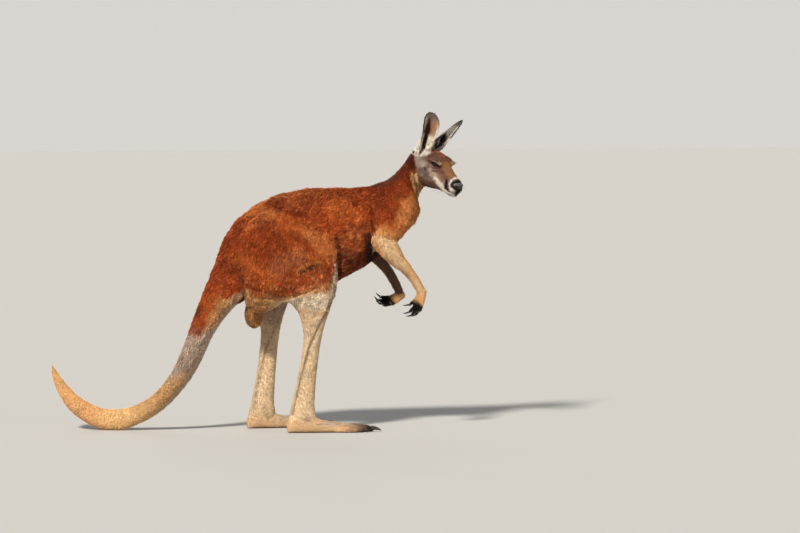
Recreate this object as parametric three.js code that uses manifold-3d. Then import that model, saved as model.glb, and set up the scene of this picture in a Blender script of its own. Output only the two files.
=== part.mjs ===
// A red kangaroo buck, life size, standing on both hind feet and the bend of its tail, with its head turned
// to its right. Millimetres, +Z up, +X the way the trunk faces, +Y to the animal's left, floor at z = 0.
// Every flesh part is a closed skin lofted through a few rings. A part is cut where its neighbour begins,
// and keeps a gap of 0.3 mm to it.
import * as THREE from 'three';
import { LoftGeometry } from 'three/addons/geometries/LoftGeometry.js';
import { mergeVertices } from 'three/addons/utils/BufferGeometryUtils.js';
import Module from 'manifold-3d';

const wasm = await Module();
wasm.setup();

const gap = 0.3;
const right = -1;
const left = 1;
const degrees = THREE.MathUtils.degToRad;

// ---------------------------------------------------------------- driving dimensions: trunk and tail

// Rings from the tip of the tail, along its bend and up the back, to the neck inside the head:
// [x top, z top, x bottom, z bottom, half width, power, egg, y, turn in degrees].
const tailRings = [
	[-708, 240, -709, 234, 3, 2, 0, 178],
	[-696, 222, -708, 199, 10, 2, 0, 178, 3],
	[-678, 195, -697, 160, 16, 2, 0, 177, 6],
	[-650, 159, -677, 116, 21, 2, 0, 174, 8],
	[-619, 127, -647, 72, 26, 2, 0, 169, 10],
	[-579, 100, -601, 34, 30, 2, 0, 161, 11],
	[-530, 79, -544, 4, 32, 2.1, 0, 150, 13],
	[-476, 76, -469, -2.5, 34, 2.1, 0, 134, 18],
	[-429, 87, -408, 19, 36, 2.1, 0, 112, 25],
	[-384, 110, -351, 52, 37, 2.1, 0, 85, 29],
	[-341, 148, -296, 101, 39, 2.1, 0, 55, 31],
	[-294, 220, -234, 180, 42, 2.1, 0, 23, 28],
	[-262, 302, -187, 264, 46, 2.1, 0, 5, 17],
	[-231, 390, -148, 350, 50, 2.1, 0, 0, 8],
	[-200, 469, -96, 422, 57, 2.1, 0.02],
	[-170, 541, -58, 458, 69, 2.1, 0.04],
];
const trunkRings = [
	[-231, 390, -148, 350, 50, 2.1, 0],
	[-200, 469, -96, 422, 57, 2.1, 0.02],
	[-170, 541, -58, 458, 69, 2.1, 0.04],
	[-139, 618, -18, 474, 84, 2.1, 0.06],
	[-114, 692, 36, 474, 98, 2.1, 0.08],
	[-65, 761, 96, 472, 110, 2.1, 0.1],
	[6, 813, 154, 474, 120, 2.15, 0.14],
	[89, 851, 207, 485, 127, 2.2, 0.18],
	[191, 868, 256, 510, 129, 2.25, 0.18],
	[272, 870, 316, 541, 125, 2.25, 0.14],
	[345, 869, 388, 578, 117, 2.2, 0.08],
	[412, 873, 462, 626, 106, 2.2, 0.02],
	[463, 887, 522, 676, 95, 2.15, -0.05],
	[500, 906, 587, 742, 82, 2.1, -0.08],
	[526, 933, 604, 784, 70, 2.1, -0.05, -1, 6],
	[547, 959, 595, 828, 61, 2.1, 0, -3, 18],
	[564, 985, 607, 860, 56, 2.1, 0, -7, 32],
	[584, 1006, 628, 878, 50, 2.1, 0, -12, 44],
];

// Where each length of the tail begins, and which way it runs on from there.
const tailCuts = [
	{ name: 'tail_base', at: [-118, 0, 484], ahead: [-0.48, 0, -0.88] },
	{ name: 'tail_middle', at: [-214, 0, 282], ahead: [-0.42, 0, -0.91] },
	{ name: 'tail_end', at: [-331, 62, 112], ahead: [-0.7, 0.3, -0.65] },
	{ name: 'tail_tip', at: [-581, 160, 55], ahead: [-0.92, 0.15, 0.36] },
];
const neckCut = { at: [562, 0, 800], ahead: [0.84, 0, 0.54] };

const scrotumRings = [
	[486, -24, 24, -20, 20, 2],
	[457, -30, 24, -24, 24, 2],
	[428, -37, 28, -30, 30, 2.1],
	[401, -36, 28, -32, 32, 2.1],
	[381, -27, 20, -25, 25, 2],
	[370, -12, 8, -10, 10, 2],
];

// ---------------------------------------------------------------- driving dimensions: head

// The head's own frame: +X towards the nose, +Y to the animal's left, +Z to the crown.
const crown = [634, -25, 1004];
const headYaw = degrees(-54);
const headPitch = degrees(25);

// [x top, z top, x bottom, z bottom, half width, power, egg], from the back of the skull to the lips.
const skullRings = [
	[-50, -44, -50, -58, 12, 2, 0],
	[-45, -22, -44, -82, 32, 2, 0],
	[-28, -6, -28, -108, 46, 2.1, 0],
	[0, 4, 0, -121, 52, 2.2, 0.02],
	[26, 10, 26, -125, 54, 2.3, 0.03],
	[50, 11, 52, -124, 54, 2.35, 0.04],
	[72, 5, 76, -118, 48, 2.35, 0.06],
	[92, -6, 96, -111, 41, 2.35, 0.08],
	[110, -16, 114, -107, 35.5, 2.35, 0.1],
	[126, -24, 130, -105, 32, 2.4, 0.12],
	[142, -31, 145, -104, 30.5, 2.5, 0.1],
	[158, -36, 160, -102, 30, 2.5, 0.08],
	[172, -41, 174, -97, 28, 2.5, 0.04],
	[182, -49, 182, -90, 23, 2.4, 0],
	[188, -58, 187, -81, 14, 2.2, 0],
];
// What stands out from the skull's rings: [x, y out from the middle, z], [half length, half width, half height].
const orbit = [[64, 31, -15], [36, 20, 18]];
const cheek = [[42, 36, -70], [42, 18, 36]];
const whiskerPad = [[162, 16, -74], [26, 15, 16]];
const chin = [[157, 0, -94], [30, 18, 14]];

// An eye looks along `gaze`, and its lids meet along `lidLine`; y counts outwards.
const eye = { x: 75, y: 33, z: -19, radius: 14, lid: 2.6, gaze: [0.3, 0.92, 0.12], lidLine: [0.93, -0.28, 0.02] };
const lidSlit = { length: 28, above: 5.5, below: 5 };
const nosePad = { at: [174, 0, -58], size: [16.5, 25, 14.5] };
const nostril = { size: [7, 3, 3.8], ahead: 9, apart: 15.5, dip: 0.5, tilt: 0.3, splay: 0.7 };
// The mouth on one side, [x, z] from its corner to the front, and its front under the nose.
const mouthSide = [[143, -76], [150, -81], [160, -85], [170, -84], [179, -79]];
const mouthFront = [187, 0, -78];
const mouthRadius = 2.3;

// Ear: a leaf rolled into a cup. [share of the length, half width, cup depth, half angle of the wall, wall].
const earLength = 155;
const earRings = [
	[-0.12, 22, 18, 165, 4],
	[0.02, 25, 20, 158, 4],
	[0.12, 26.5, 21, 138, 3.6],
	[0.28, 26, 20, 116, 3.2],
	[0.48, 26.5, 17, 102, 2.8],
	[0.66, 27.5, 14, 94, 2.6],
	[0.82, 25.5, 10.5, 88, 2.4],
	[0.92, 20, 7.5, 85, 2.2],
	[0.98, 13, 5, 85, 2],
	[1.01, 7, 3.4, 85, 1.8],
];
// Where an ear is rooted, where its tip leans, which way its cup opens, how far it bows at its middle, and
// how wide it is drawn.
const ears = {
	ear_right: { root: [-4, -33, -10], lean: [-0.02, -0.11, 1], open: [0.6, -0.8, 0], bow: [5, 10, 0], wide: 1 },
	ear_left: { root: [-11, 33, -6], lean: [0.02, 0.66, 0.75], open: [0.95, -0.3, 0.25], bow: [2, 2, 4], wide: 0.86 },
};

// ---------------------------------------------------------------- driving dimensions: hind legs

// The left leg is set back by this much from the knee down, fading out at the hip.
const stagger = 112;
const hipHeight = 650;
const kneeHeight = 440;

// Level rings: [z, x rear, x front, y inner, y outer, power], y counted outwards.
const thighRings = [
	[795, 30, 80, 50, 84, 2],
	[770, -12, 130, 44, 112, 2],
	[728, -58, 178, 30, 136, 2.1],
	[684, -86, 224, 20, 152, 2.2],
	[640, -95, 261, 16, 162, 2.2],
	[600, -88, 279, 18, 168, 2.2],
	[560, -74, 283, 26, 171, 2.2],
	[522, -50, 280, 42, 172, 2.2],
	[490, 12, 273, 58, 170, 2.15],
	[466, 98, 262, 74, 166, 2.1],
	[444, 134, 248, 86, 160, 2],
	[424, 148, 234, 98, 150, 2],
];
const hamstringRings = [
	[610, -72, 60, 26, 120, 2.1],
	[560, -64, 96, 26, 138, 2.1],
	[512, -55, 112, 32, 146, 2.1],
	[474, -57, 100, 46, 140, 2.1],
	[448, -47, 60, 64, 126, 2],
	[430, -26, 20, 82, 108, 2],
];
const shinRings = [
	[515, 150, 246, 92, 154, 2],
	[478, 156, 258, 88, 158, 2.1],
	[440, 158, 251, 85, 157, 2.1],
	[400, 160, 236, 84, 153, 2.1],
	[360, 164, 225, 84, 146, 2.1],
	[310, 165, 216, 82, 139, 2.1],
	[255, 158, 210, 78, 131, 2.1],
	[200, 148, 204, 74, 126, 2.2],
	[145, 137, 200, 70, 124, 2.2],
	[95, 126, 198, 68, 127, 2.3],
	[55, 122, 204, 68, 130, 2.4],
	[28, 128, 206, 74, 126, 2.4],
	[14, 136, 196, 82, 118, 2.2],
];
const tendonRings = [
	[505, 86, 230, 92, 156, 2],
	[465, 106, 226, 88, 158, 2.1],
	[430, 134, 214, 88, 156, 2.1],
	[390, 147, 204, 92, 152, 2.1],
	[350, 154, 192, 96, 147, 2],
	[300, 151, 180, 97, 140, 2],
	[245, 143, 166, 93, 130, 2],
	[190, 134, 156, 88, 121, 2],
	[135, 122, 147, 84, 116, 2],
	[85, 111, 142, 80, 115, 2.1],
	[48, 103, 142, 79, 117, 2.2],
	[22, 102, 140, 82, 114, 2.2],
];

// Foot in its own frame: +X from the heel to the toes, +Y outwards from the body, sole at z = 0.
const heelX = 98;
const footY = 98;
const toeOut = degrees(3);
const sole = -2.5;
// [x top, z top, x bottom, z bottom, half width, power, egg, y].
const footRings = [
	[-1, 26, 1, 6, 12, 2.2, 0],
	[6, 42, 5, sole, 20, 2.4, 0],
	[26, 54, 24, sole, 25, 2.5, 0],
	[60, 58, 58, sole, 28, 2.5, 0],
	[96, 55, 94, sole, 29, 2.5, 0.06],
	[124, 47, 122, sole, 29, 2.5, 0.1],
	[156, 40, 156, sole, 29, 2.5, 0.12],
	[190, 36, 190, sole, 29, 2.5, 0.12],
	[222, 33, 222, sole, 26, 2.4, 0.12],
	[248, 31, 248, sole, 19, 2.3, 0.1, 1],
	[274, 28, 274, sole, 15.5, 2.3, 0.1, 2],
	[296, 23, 297, sole, 12, 2.2, 0.1, 2],
	[308, 15, 308, 2, 6, 2, 0, 2],
];
// Toes beside the great fourth one, and the claws: [x, y, z, half depth, half width] along the middle.
const toes = [
	[[170, 22, 11, 11, 9], [205, 30, 12, 13, 10], [240, 31, 11, 12, 9.5], [262, 29, 10, 9, 7], [270, 28, 9, 3, 3]],
	[[190, -18, 11, 9, 6], [222, -21, 11, 9, 5.5], [248, -20, 9, 8, 5], [257, -19, 8, 3, 2.5]],
	[[190, -25, 11, 8, 6], [220, -30, 10, 8, 5.5], [243, -31, 9, 7.5, 5], [252, -31, 8, 3, 2.5]],
];
const toeClaws = {
	4: [[290, 2, 12, 9, 7.5], [308, 2, 14, 8.5, 7], [324, 2, 11, 6, 5], [336, 2, 6, 2.4, 2], [340, 2, 3, 0.8, 0.8]],
	5: [[254, 29, 9, 6, 5], [268, 28, 11, 5.5, 4.5], [280, 28, 9, 4, 3.2], [290, 28, 4, 0.8, 0.8]],
	3: [[246, -19, 9, 4.5, 3], [256, -19, 10, 4, 2.6], [265, -19, 8, 2.6, 1.8], [272, -19, 4, 0.7, 0.7]],
	2: [[241, -31, 9, 4.5, 3], [251, -31, 10, 4, 2.6], [260, -32, 8, 2.6, 1.8], [267, -32, 4, 0.7, 0.7]],
};

// ---------------------------------------------------------------- driving dimensions: arms

// [x, y, z, half depth, half width] along the middle, y counted outwards. A hand hangs from `wrist`: its
// fingers run along `fingers`, and `across` points over its palm to the little finger of a left hand.
const arms = {
	right: {
		side: right,
		upper: [[520, 40, 838, 22, 16], [520, 58, 812, 48, 30], [508, 74, 778, 58, 36], [491, 86, 742, 55, 38],
			[470, 97, 710, 47, 38], [448, 105, 692, 37, 34], [426, 108, 684, 23, 24]],
		fore: [[416, 108, 698, 14, 16], [428, 109, 690, 28, 27], [446, 111, 672, 37, 33], [466, 112, 652, 40, 35],
			[484, 112, 629, 34, 32], [502, 111, 606, 27.5, 28], [524, 109, 587, 23, 24], [543, 107, 565, 19, 21],
			[561, 105, 541, 17.5, 20], [577, 103, 516, 17, 19], [586, 102, 494, 16, 18], [588, 101, 476, 14, 16]],
		wrist: [588, -102, 494],
		fingers: [-0.24, 0.05, -0.97],
		across: [-0.45, 0.88, 0.1],
	},
	left: {
		side: left,
		upper: [[520, 40, 838, 22, 16], [520, 58, 812, 48, 30], [504, 74, 776, 57, 36], [484, 86, 738, 54, 38],
			[462, 97, 706, 48, 38], [443, 104, 682, 38, 34], [427, 107, 666, 23, 24]],
		fore: [[422, 107, 680, 14, 16], [430, 108, 666, 26, 27], [445, 108, 641, 31, 31], [466, 105, 612, 25, 30],
			[489, 99, 584, 20, 26], [508, 94, 560, 18.5, 23], [522, 90, 535, 18, 20.5], [534, 87, 512, 17.5, 19],
			[543, 85, 493, 16.5, 17.5], [548, 84, 478, 15, 16.5]],
		wrist: [549, 84, 474],
		fingers: [-0.87, -0.1, -0.48],
		across: [-0.26, 0.83, 0.49],
	},
};

// Hand in its own frame: +X along the palm, +Z out of its back, and a left hand's little finger at +Y.
const palmRings = [
	[-14, 0, 0, 14, 16],
	[2, 0, 0, 15, 18],
	[18, 0, 0, 15, 21],
	[36, 0, -1, 14, 23],
	[51, 0, -3, 12, 22],
	[60, 0, -5, 8, 17],
];
const fingers = [
	{ root: [28, -18], spread: degrees(-32), length: 30 },
	{ root: [44, -12], spread: degrees(-14), length: 37 },
	{ root: [47, -1], spread: degrees(0), length: 40 },
	{ root: [45, 10], spread: degrees(13), length: 37 },
	{ root: [37, 18], spread: degrees(28), length: 31 },
];
// Along a finger and its claw: [share of the finger's length, radius]; a claw is this flat.
const fingerSwell = [[0, 6.3], [0.4, 6.55], [0.9, 5.9], [1.06, 2.8]];
const clawRadii = [4.2, 3.7, 2.7, 0.6];
const clawRoot = 0.86;
const clawFlatness = 0.7;
const fingerCurl = degrees(40);
const fingerDrop = 4;
const clawCurl = degrees(44);
const clawLength = 24;

// ---------------------------------------------------------------- solids

// A closed geometry as a solid, turned face outwards if its rings run the other way.
function solid(geometry, frame) {
	const bare = new THREE.BufferGeometry().copy(geometry);
	bare.deleteAttribute('normal');
	bare.deleteAttribute('uv');
	if (frame) bare.applyMatrix4(frame);
	const merged = mergeVertices(bare, 1e-3);
	const make = (triVerts) => new wasm.Manifold(new wasm.Mesh({
		numProp: 3,
		vertProperties: merged.attributes.position.array,
		triVerts,
	}));
	const made = make(new Uint32Array(merged.index.array));
	return made.volume() > 0 ? made : make(new Uint32Array(merged.index.array).reverse());
}

const join = (...pieces) => pieces.flat().reduce((whole, piece) => whole.add(piece));
const cut = (whole, ...tools) => tools.flat().reduce((rest, tool) => rest.subtract(tool), whole);

// Splits a solid at a plane: the part on the side that `ahead` points to, and the part behind.
function parted(whole, { at, ahead }) {
	const normal = new THREE.Vector3(...ahead).normalize();
	const offset = normal.dot(new THREE.Vector3(...at));
	return {
		front: whole.trimByPlane(normal.toArray(), offset + gap / 2),
		back: whole.trimByPlane(normal.clone().negate().toArray(), -offset + gap / 2),
	};
}

// The largest closed body of a solid, as a geometry.
function geometryOf(whole) {
	const body = whole.decompose().reduce((a, b) => (b.volume() > a.volume() ? b : a));
	const { vertProperties, triVerts, numProp, numVert } = body.getMesh();
	const position = new Float32Array(numVert * 3);
	for (let i = 0; i < numVert; i++) {
		position.set(vertProperties.subarray(i * numProp, i * numProp + 3), i * 3);
	}
	const geometry = new THREE.BufferGeometry();
	geometry.setAttribute('position', new THREE.BufferAttribute(position, 3));
	geometry.setIndex(new THREE.BufferAttribute(triVerts, 1));
	geometry.computeVertexNormals();
	return geometry;
}

// ---------------------------------------------------------------- lofts

// The row at place s in a table of rings, by a Catmull-Rom spline through its numbers. A number that a
// row leaves out at its end is 0.
function along(rows, s) {
	const last = rows.length - 1;
	const i = Math.min(Math.floor(s), last - 1);
	const u = s - i;
	const width = Math.max(...rows.map((row) => row.length));
	const number = (k, n) => rows[Math.min(Math.max(k, 0), last)][n] ?? 0;
	return Array.from({ length: width }, (_, n) => {
		const [a, b, c, d] = [i - 1, i, i + 1, i + 2].map((k) => number(k, n));
		return b + 0.5 * u * (c - a + u * (2 * a - 5 * b + 4 * c - d + u * (3 * (b - c) + d - a)));
	});
}

// A superellipse ring round the middle of two opposite points. `egg` above 0 narrows it towards `top`.
function ring({ top, bottom, side, half, power = 2, egg = 0, sides, grow }) {
	const middle = top.clone().add(bottom).multiplyScalar(0.5);
	const up = top.clone().sub(bottom).multiplyScalar(0.5);
	const tall = up.length() + grow;
	up.normalize();
	const across = side.clone().normalize();
	return Array.from({ length: sides }, (_, j) => {
		const angle = (j / sides) * 2 * Math.PI;
		const bend = (v) => Math.sign(v) * Math.abs(v) ** (2 / power);
		const y = bend(Math.sin(angle));
		const x = bend(Math.cos(angle)) * (1 - egg * y);
		return middle.clone().addScaledVector(up, tall * y).addScaledVector(across, (half + grow) * x);
	});
}

const centreOf = (points) => points.reduce((sum, p) => sum.add(p), new THREE.Vector3())
	.divideScalar(points.length);

// The rings with the first and the last of them moved outwards by `grow`.
function lengthened(rings, grow) {
	const moved = (points, inner) => {
		const shift = centreOf(points).sub(centreOf(inner)).setLength(grow);
		return points.map((p) => p.clone().add(shift));
	};
	return [moved(rings[0], rings[1]), ...rings.slice(1, -1), moved(rings.at(-1), rings.at(-2))];
}

// A capped loft. Its rings are turned to run counter-clockwise, seen from the end they lead to.
function skin(plain, grow = 0) {
	const rings = grow ? lengthened(plain, grow) : plain;
	const [first, next] = rings;
	const normal = first.reduce((sum, p, j) => {
		const edge = new THREE.Vector3().subVectors(first[(j + 1) % first.length], p);
		return sum.add(new THREE.Vector3().subVectors(p, first[0]).cross(edge));
	}, new THREE.Vector3());
	const forward = normal.dot(centreOf(next).sub(centreOf(first))) > 0;
	const turned = forward ? rings : rings.map((points) => [...points].reverse());
	return new LoftGeometry(turned, { capStart: true, capEnd: true });
}

// The rows of a table with `perRow` steps from each to the next.
function stepped(rows, perRow) {
	const steps = (rows.length - 1) * perRow;
	return Array.from({ length: steps + 1 }, (_, k) => along(rows, k / perRow));
}

// A body through rings that stand across the plane of symmetry.
function upright(rows, perRow, sides, grow = 0) {
	return skin(stepped(rows, perRow).map(([xt, zt, xb, zb, half, power, egg, y = 0, turn = 0]) => ring({
		top: new THREE.Vector3(xt, y, zt),
		bottom: new THREE.Vector3(xb, y, zb),
		side: new THREE.Vector3(Math.sin(degrees(turn)), Math.cos(degrees(turn)), 0),
		half, power, egg, sides, grow,
	})), grow);
}

// A limb through level rings.
function stacked(rows, perRow, sides, grow = 0) {
	return skin(stepped(rows, perRow).map(([z, rear, front, inner, outer, power]) => ring({
		top: new THREE.Vector3(front, (inner + outer) / 2, z),
		bottom: new THREE.Vector3(rear, (inner + outer) / 2, z),
		side: new THREE.Vector3(0, 1, 0),
		half: Math.abs(outer - inner) / 2,
		power, sides, grow,
	})), grow);
}

// A limb whose rings stand square to its path.
function limb(rows, perRow, sides, grow = 0) {
	const stations = stepped(rows, perRow);
	const places = stations.map(([x, y, z]) => new THREE.Vector3(x, y, z));
	return skin(stations.map(([, , , depth, half], k) => {
		const run = places[Math.min(k + 1, places.length - 1)].clone().sub(places[Math.max(k - 1, 0)]).normalize();
		const side = new THREE.Vector3(0, 1, 0).addScaledVector(run, -run.y).normalize();
		const up = new THREE.Vector3().crossVectors(run, side);
		return ring({
			top: places[k].clone().addScaledVector(up, depth),
			bottom: places[k].clone().addScaledVector(up, -depth),
			side, half, sides, grow,
		});
	}), grow);
}

const ellipsoid = ([x, y, z], [rx, ry, rz], across = 12, down = 7) => solid(
	new THREE.SphereGeometry(1, across, down).scale(rx, ry, rz).translate(x, y, z));

function frameOf(origin, xAxis, yAxis) {
	const x = new THREE.Vector3(...xAxis).normalize();
	const y = new THREE.Vector3(...yAxis);
	y.addScaledVector(x, -y.dot(x)).normalize();
	return new THREE.Matrix4().makeBasis(x, y, new THREE.Vector3().crossVectors(x, y)).setPosition(...origin);
}

// ---------------------------------------------------------------- materials and nodes

function finish(name, color, roughness = 0.95) {
	const material = new THREE.MeshStandardMaterial({ color, roughness, metalness: 0 });
	material.name = name;
	return material;
}
const materials = {
	russet: finish('russet_coat', 0x9c4520),
	fawn: finish('fawn_coat', 0xd0a878),
	greyRed: finish('grey_red_coat', 0x8c6858),
	sandy: finish('sandy_coat', 0xcfa25e),
	face: finish('face_coat', 0x9a7766),
	ear: finish('ear_coat', 0x8d7d78),
	black: finish('black_coat', 0x191613, 0.8),
	claw: finish('claw_horn', 0x1d1916, 0.45),
	nose: finish('nose_skin', 0x16130f, 0.4),
	eye: finish('eye_wet', 0x140c08, 0.05),
	scrotum: finish('scrotum_coat', 0xb98a5a, 0.9),
};

const kangaroo = new THREE.Group();
kangaroo.name = 'red_kangaroo';

function add(group, name, whole, material) {
	const mesh = new THREE.Mesh(geometryOf(whole), material);
	mesh.name = name;
	group.add(mesh);
}

// A group that holds pieces made in a frame of their own.
function groupAt(name, frame) {
	const group = new THREE.Group();
	group.name = name;
	frame.decompose(group.position, group.quaternion, group.scale);
	kangaroo.add(group);
	return group;
}

// ---------------------------------------------------------------- trunk, tail and neck

const trunkSides = 28;
const tailSides = 14;
const trunk = solid(upright(trunkRings, 1, trunkSides));
const tail = solid(upright(tailRings, 2, tailSides));
const trunkGrown = solid(upright(trunkRings, 1, trunkSides, gap));
const tailGrown = solid(upright(tailRings, 2, tailSides, gap));
const beyondTail = parted(trunk, tailCuts[0]).back;
const { front: neckWhole, back: torso } = parted(beyondTail, neckCut);
add(kangaroo, 'torso', torso, materials.russet);

const tailMaterials = [materials.russet, materials.greyRed, materials.sandy, materials.sandy];
let tailRest = parted(tail, tailCuts[0]).front.trimByPlane([0, 0, 1], 0);
tailCuts.forEach(({ name }, i) => {
	const next = tailCuts[i + 1];
	const { front, back } = next ? parted(tailRest, next) : { front: null, back: tailRest };
	add(kangaroo, name, back, tailMaterials[i]);
	tailRest = front;
});

// ---------------------------------------------------------------- head

const headFrame = new THREE.Matrix4()
	.makeRotationFromEuler(new THREE.Euler(0, headPitch, headYaw, 'ZYX'))
	.setPosition(...crown);
const onSide = ([x, y, z], side) => [x, side * y, z];
const bothSides = [right, left];

// Half the head's width at a place on its flank.
function flank(x, z) {
	const step = 0.05;
	const edge = 0.98;
	let s = 0;
	while (s < skullRings.length - 1 - step && along(skullRings, s + step)[0] < x) s += step;
	const [, top, , bottom, half, power, egg] = along(skullRings, s);
	const y = THREE.MathUtils.clamp((z - (top + bottom) / 2) / ((top - bottom) / 2), -edge, edge);
	return half * (1 - Math.abs(y) ** power) ** (1 / power) * (1 - egg * y);
}

const skull = (grow = 0) => solid(upright(skullRings, 1, 26, grow));
const eyeCentre = (side) => onSide([eye.x, eye.y, eye.z], side);
const eyeball = (side, grow = 0) => {
	const radius = eye.radius + grow;
	return ellipsoid(eyeCentre(side), [radius, radius, radius], 14, 8);
};

// The line of the mouth, from one corner round under the nose to the other.
function mouthLine() {
	const onFlank = (side) => mouthSide.map(([x, z]) => new THREE.Vector3(x, side * flank(x, z), z));
	const path = [...onFlank(right), new THREE.Vector3(...mouthFront), ...onFlank(left).reverse()];
	const section = new THREE.Path().absellipse(0, 0, mouthRadius, mouthRadius, 0, 2 * Math.PI).getPoints(4);
	return solid(new THREE.ExtrudeGeometry(new THREE.Shape(section), {
		steps: 2 * path.length,
		bevelEnabled: false,
		extrudePath: new THREE.CatmullRomCurve3(path),
	}));
}

// The almond between the lids, pushed out from the middle of the eye.
function lidOpening(side) {
	const { length, above, below } = lidSlit;
	const almond = new THREE.Shape();
	almond.moveTo(-length / 2, 0);
	almond.quadraticCurveTo(0, above * 2, length / 2, 0);
	almond.quadraticCurveTo(0, -below * 2, -length / 2, 0);
	const gaze = new THREE.Vector3(...onSide(eye.gaze, side)).normalize();
	const lidLine = new THREE.Vector3(...onSide(eye.lidLine, side));
	lidLine.addScaledVector(gaze, -lidLine.dot(gaze)).normalize();
	const up = new THREE.Vector3().crossVectors(gaze, lidLine);
	const place = new THREE.Matrix4().makeBasis(lidLine, up, gaze).setPosition(...eyeCentre(side));
	const depth = 2.5 * eye.radius;
	return solid(new THREE.ExtrudeGeometry(almond, { depth, bevelEnabled: false, curveSegments: 5 }), place);
}

const lids = (side) => {
	const radius = eye.radius + eye.lid;
	return ellipsoid(eyeCentre(side), [radius, radius, radius], 14, 9);
};
const nosePadWhole = (grow = 0) => ellipsoid(nosePad.at, nosePad.size.map((r) => r + grow), 16, 9);
const nostrilPit = (side) => {
	const { size, ahead, apart, dip, tilt, splay } = nostril;
	const comma = new THREE.SphereGeometry(1, 8, 6).scale(...size).rotateY(tilt).rotateZ(side * splay);
	return solid(comma.translate(nosePad.at[0] + ahead, side * apart, nosePad.at[2] - dip));
};

const headWhole = join(
	skull(),
	...bothSides.flatMap((side) => [
		...[orbit, cheek, whiskerPad].map(([at, size]) => ellipsoid(onSide(at, side), size)),
		lids(side),
	]),
	ellipsoid(...chin),
);
const headSolid = cut(
	headWhole,
	mouthLine(),
	nosePadWhole(gap),
	...bothSides.flatMap((side) => [lidOpening(side), eyeball(side, gap)]),
);

function ear({ root, lean, open, bow, wide }) {
	const frame = frameOf(root, lean, open);
	const bend = new THREE.Vector3(...bow);
	const perHalf = 7;
	const stepsPerRow = 1.5;
	return solid(skin(stepped(earRings, stepsPerRow).map(([share, half, deep, cover, wall]) => {
		const arc = Math.max(4 * share * (1 - share), 0);
		const place = (angle, inset) => new THREE.Vector3(
			share * earLength,
			-(deep - inset) * Math.cos(angle),
			wide * (half - inset) * Math.sin(angle),
		).applyMatrix4(frame).addScaledVector(bend, arc);
		const angles = Array.from({ length: perHalf }, (_, j) => degrees(cover) * ((2 * j) / (perHalf - 1) - 1));
		return [...angles.map((a) => place(a, 0)), ...angles.reverse().map((a) => place(a, wall))];
	})));
}

const headGroup = groupAt('head_frame', headFrame);
add(headGroup, 'head', headSolid, materials.face);
add(headGroup, 'nose', cut(nosePadWhole(), nostrilPit(right), nostrilPit(left)), materials.nose);
add(headGroup, 'eye_right', eyeball(right), materials.eye);
add(headGroup, 'eye_left', eyeball(left), materials.eye);
for (const [name, shape] of Object.entries(ears)) add(headGroup, name, cut(ear(shape), skull(gap)), materials.ear);
add(kangaroo, 'neck', cut(neckWhole, solid(geometryOf(skull(gap)), headFrame)), materials.russet);

// ---------------------------------------------------------------- hind legs

function setBack(side, z) {
	if (side === right) return 0;
	return stagger * THREE.MathUtils.smoothstep(hipHeight - z, 0, hipHeight - kneeHeight);
}

const placeLeg = (side, rows) => rows.map(([z, rear, front, inner, outer, power]) => {
	const back = setBack(side, z);
	return [z, rear - back, front - back, side * inner, side * outer, power];
});
const thigh = (side, grow = 0) => join(
	solid(stacked(placeLeg(side, thighRings), 1, 20, grow)),
	solid(stacked(placeLeg(side, hamstringRings), 1, 12, grow)));
const shank = (side, grow = 0) => join(
	solid(stacked(placeLeg(side, shinRings), 1, 14, grow)),
	solid(stacked(placeLeg(side, tendonRings), 1, 10, grow)));

// A foot is made as the left one, and mirrored for the right.
function foot(side, grow = 0) {
	const mirror = new THREE.Matrix4().makeScale(1, side, 1);
	return join(
		solid(upright(footRings, 1, 16, grow), mirror),
		toes.map((rows) => solid(limb(rows, 1, 8, grow), mirror)),
	).trimByPlane([0, 0, 1], 0);
}

for (const side of bothSides) {
	const name = side === right ? 'right' : 'left';
	const frame = new THREE.Matrix4().makeRotationZ(side * toeOut)
		.setPosition(heelX - setBack(side, 0), side * footY, 0);
	const footHere = solid(geometryOf(foot(side, gap)), frame);
	add(kangaroo, `thigh_${name}`, cut(thigh(side), trunkGrown, tailGrown), materials.russet);
	add(kangaroo, `shank_${name}`, cut(shank(side), thigh(side, gap), footHere), materials.fawn);

	const group = groupAt(`foot_frame_${name}`, frame);
	add(group, `foot_${name}`, foot(side), materials.fawn);
	const mirror = new THREE.Matrix4().makeScale(1, side, 1);
	for (const [toe, rows] of Object.entries(toeClaws)) {
		const claw = solid(limb(rows, 1, 6), mirror).trimByPlane([0, 0, 1], gap);
		add(group, `claw_toe_${toe}_${name}`, cut(claw, foot(side, gap)), materials.claw);
	}
}

// ---------------------------------------------------------------- arms and hands

// A point of a digit that bends into the palm, a share of its length out from its root.
function digitPoint({ root: [x, y], spread, length }, share) {
	const reach = share * length;
	const turn = fingerCurl * Math.min(share, 1) + clawCurl * Math.max(reach - length, 0) / clawLength;
	const straight = reach * Math.cos(turn / 2);
	const height = -fingerDrop - reach * Math.sin(turn / 2);
	return [x + straight * Math.cos(spread), y + straight * Math.sin(spread), height];
}

const fingerRings = (finger) => fingerSwell.map(
	([share, radius]) => [...digitPoint(finger, share), radius, radius]);

function clawRings(finger) {
	const fingertip = fingerSwell.at(-1)[0];
	const claw = clawLength / finger.length;
	const shares = [clawRoot, fingertip, fingertip + 0.5 * claw, 1 + claw];
	return shares.map((share, i) => [...digitPoint(finger, share), clawRadii[i], clawRadii[i] * clawFlatness]);
}

const hand = (mirror, grow = 0) => join(
	solid(limb(palmRings, 1, 14, grow), mirror),
	fingers.map((finger) => solid(limb(fingerRings(finger), 1, 8, grow), mirror)));

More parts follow.
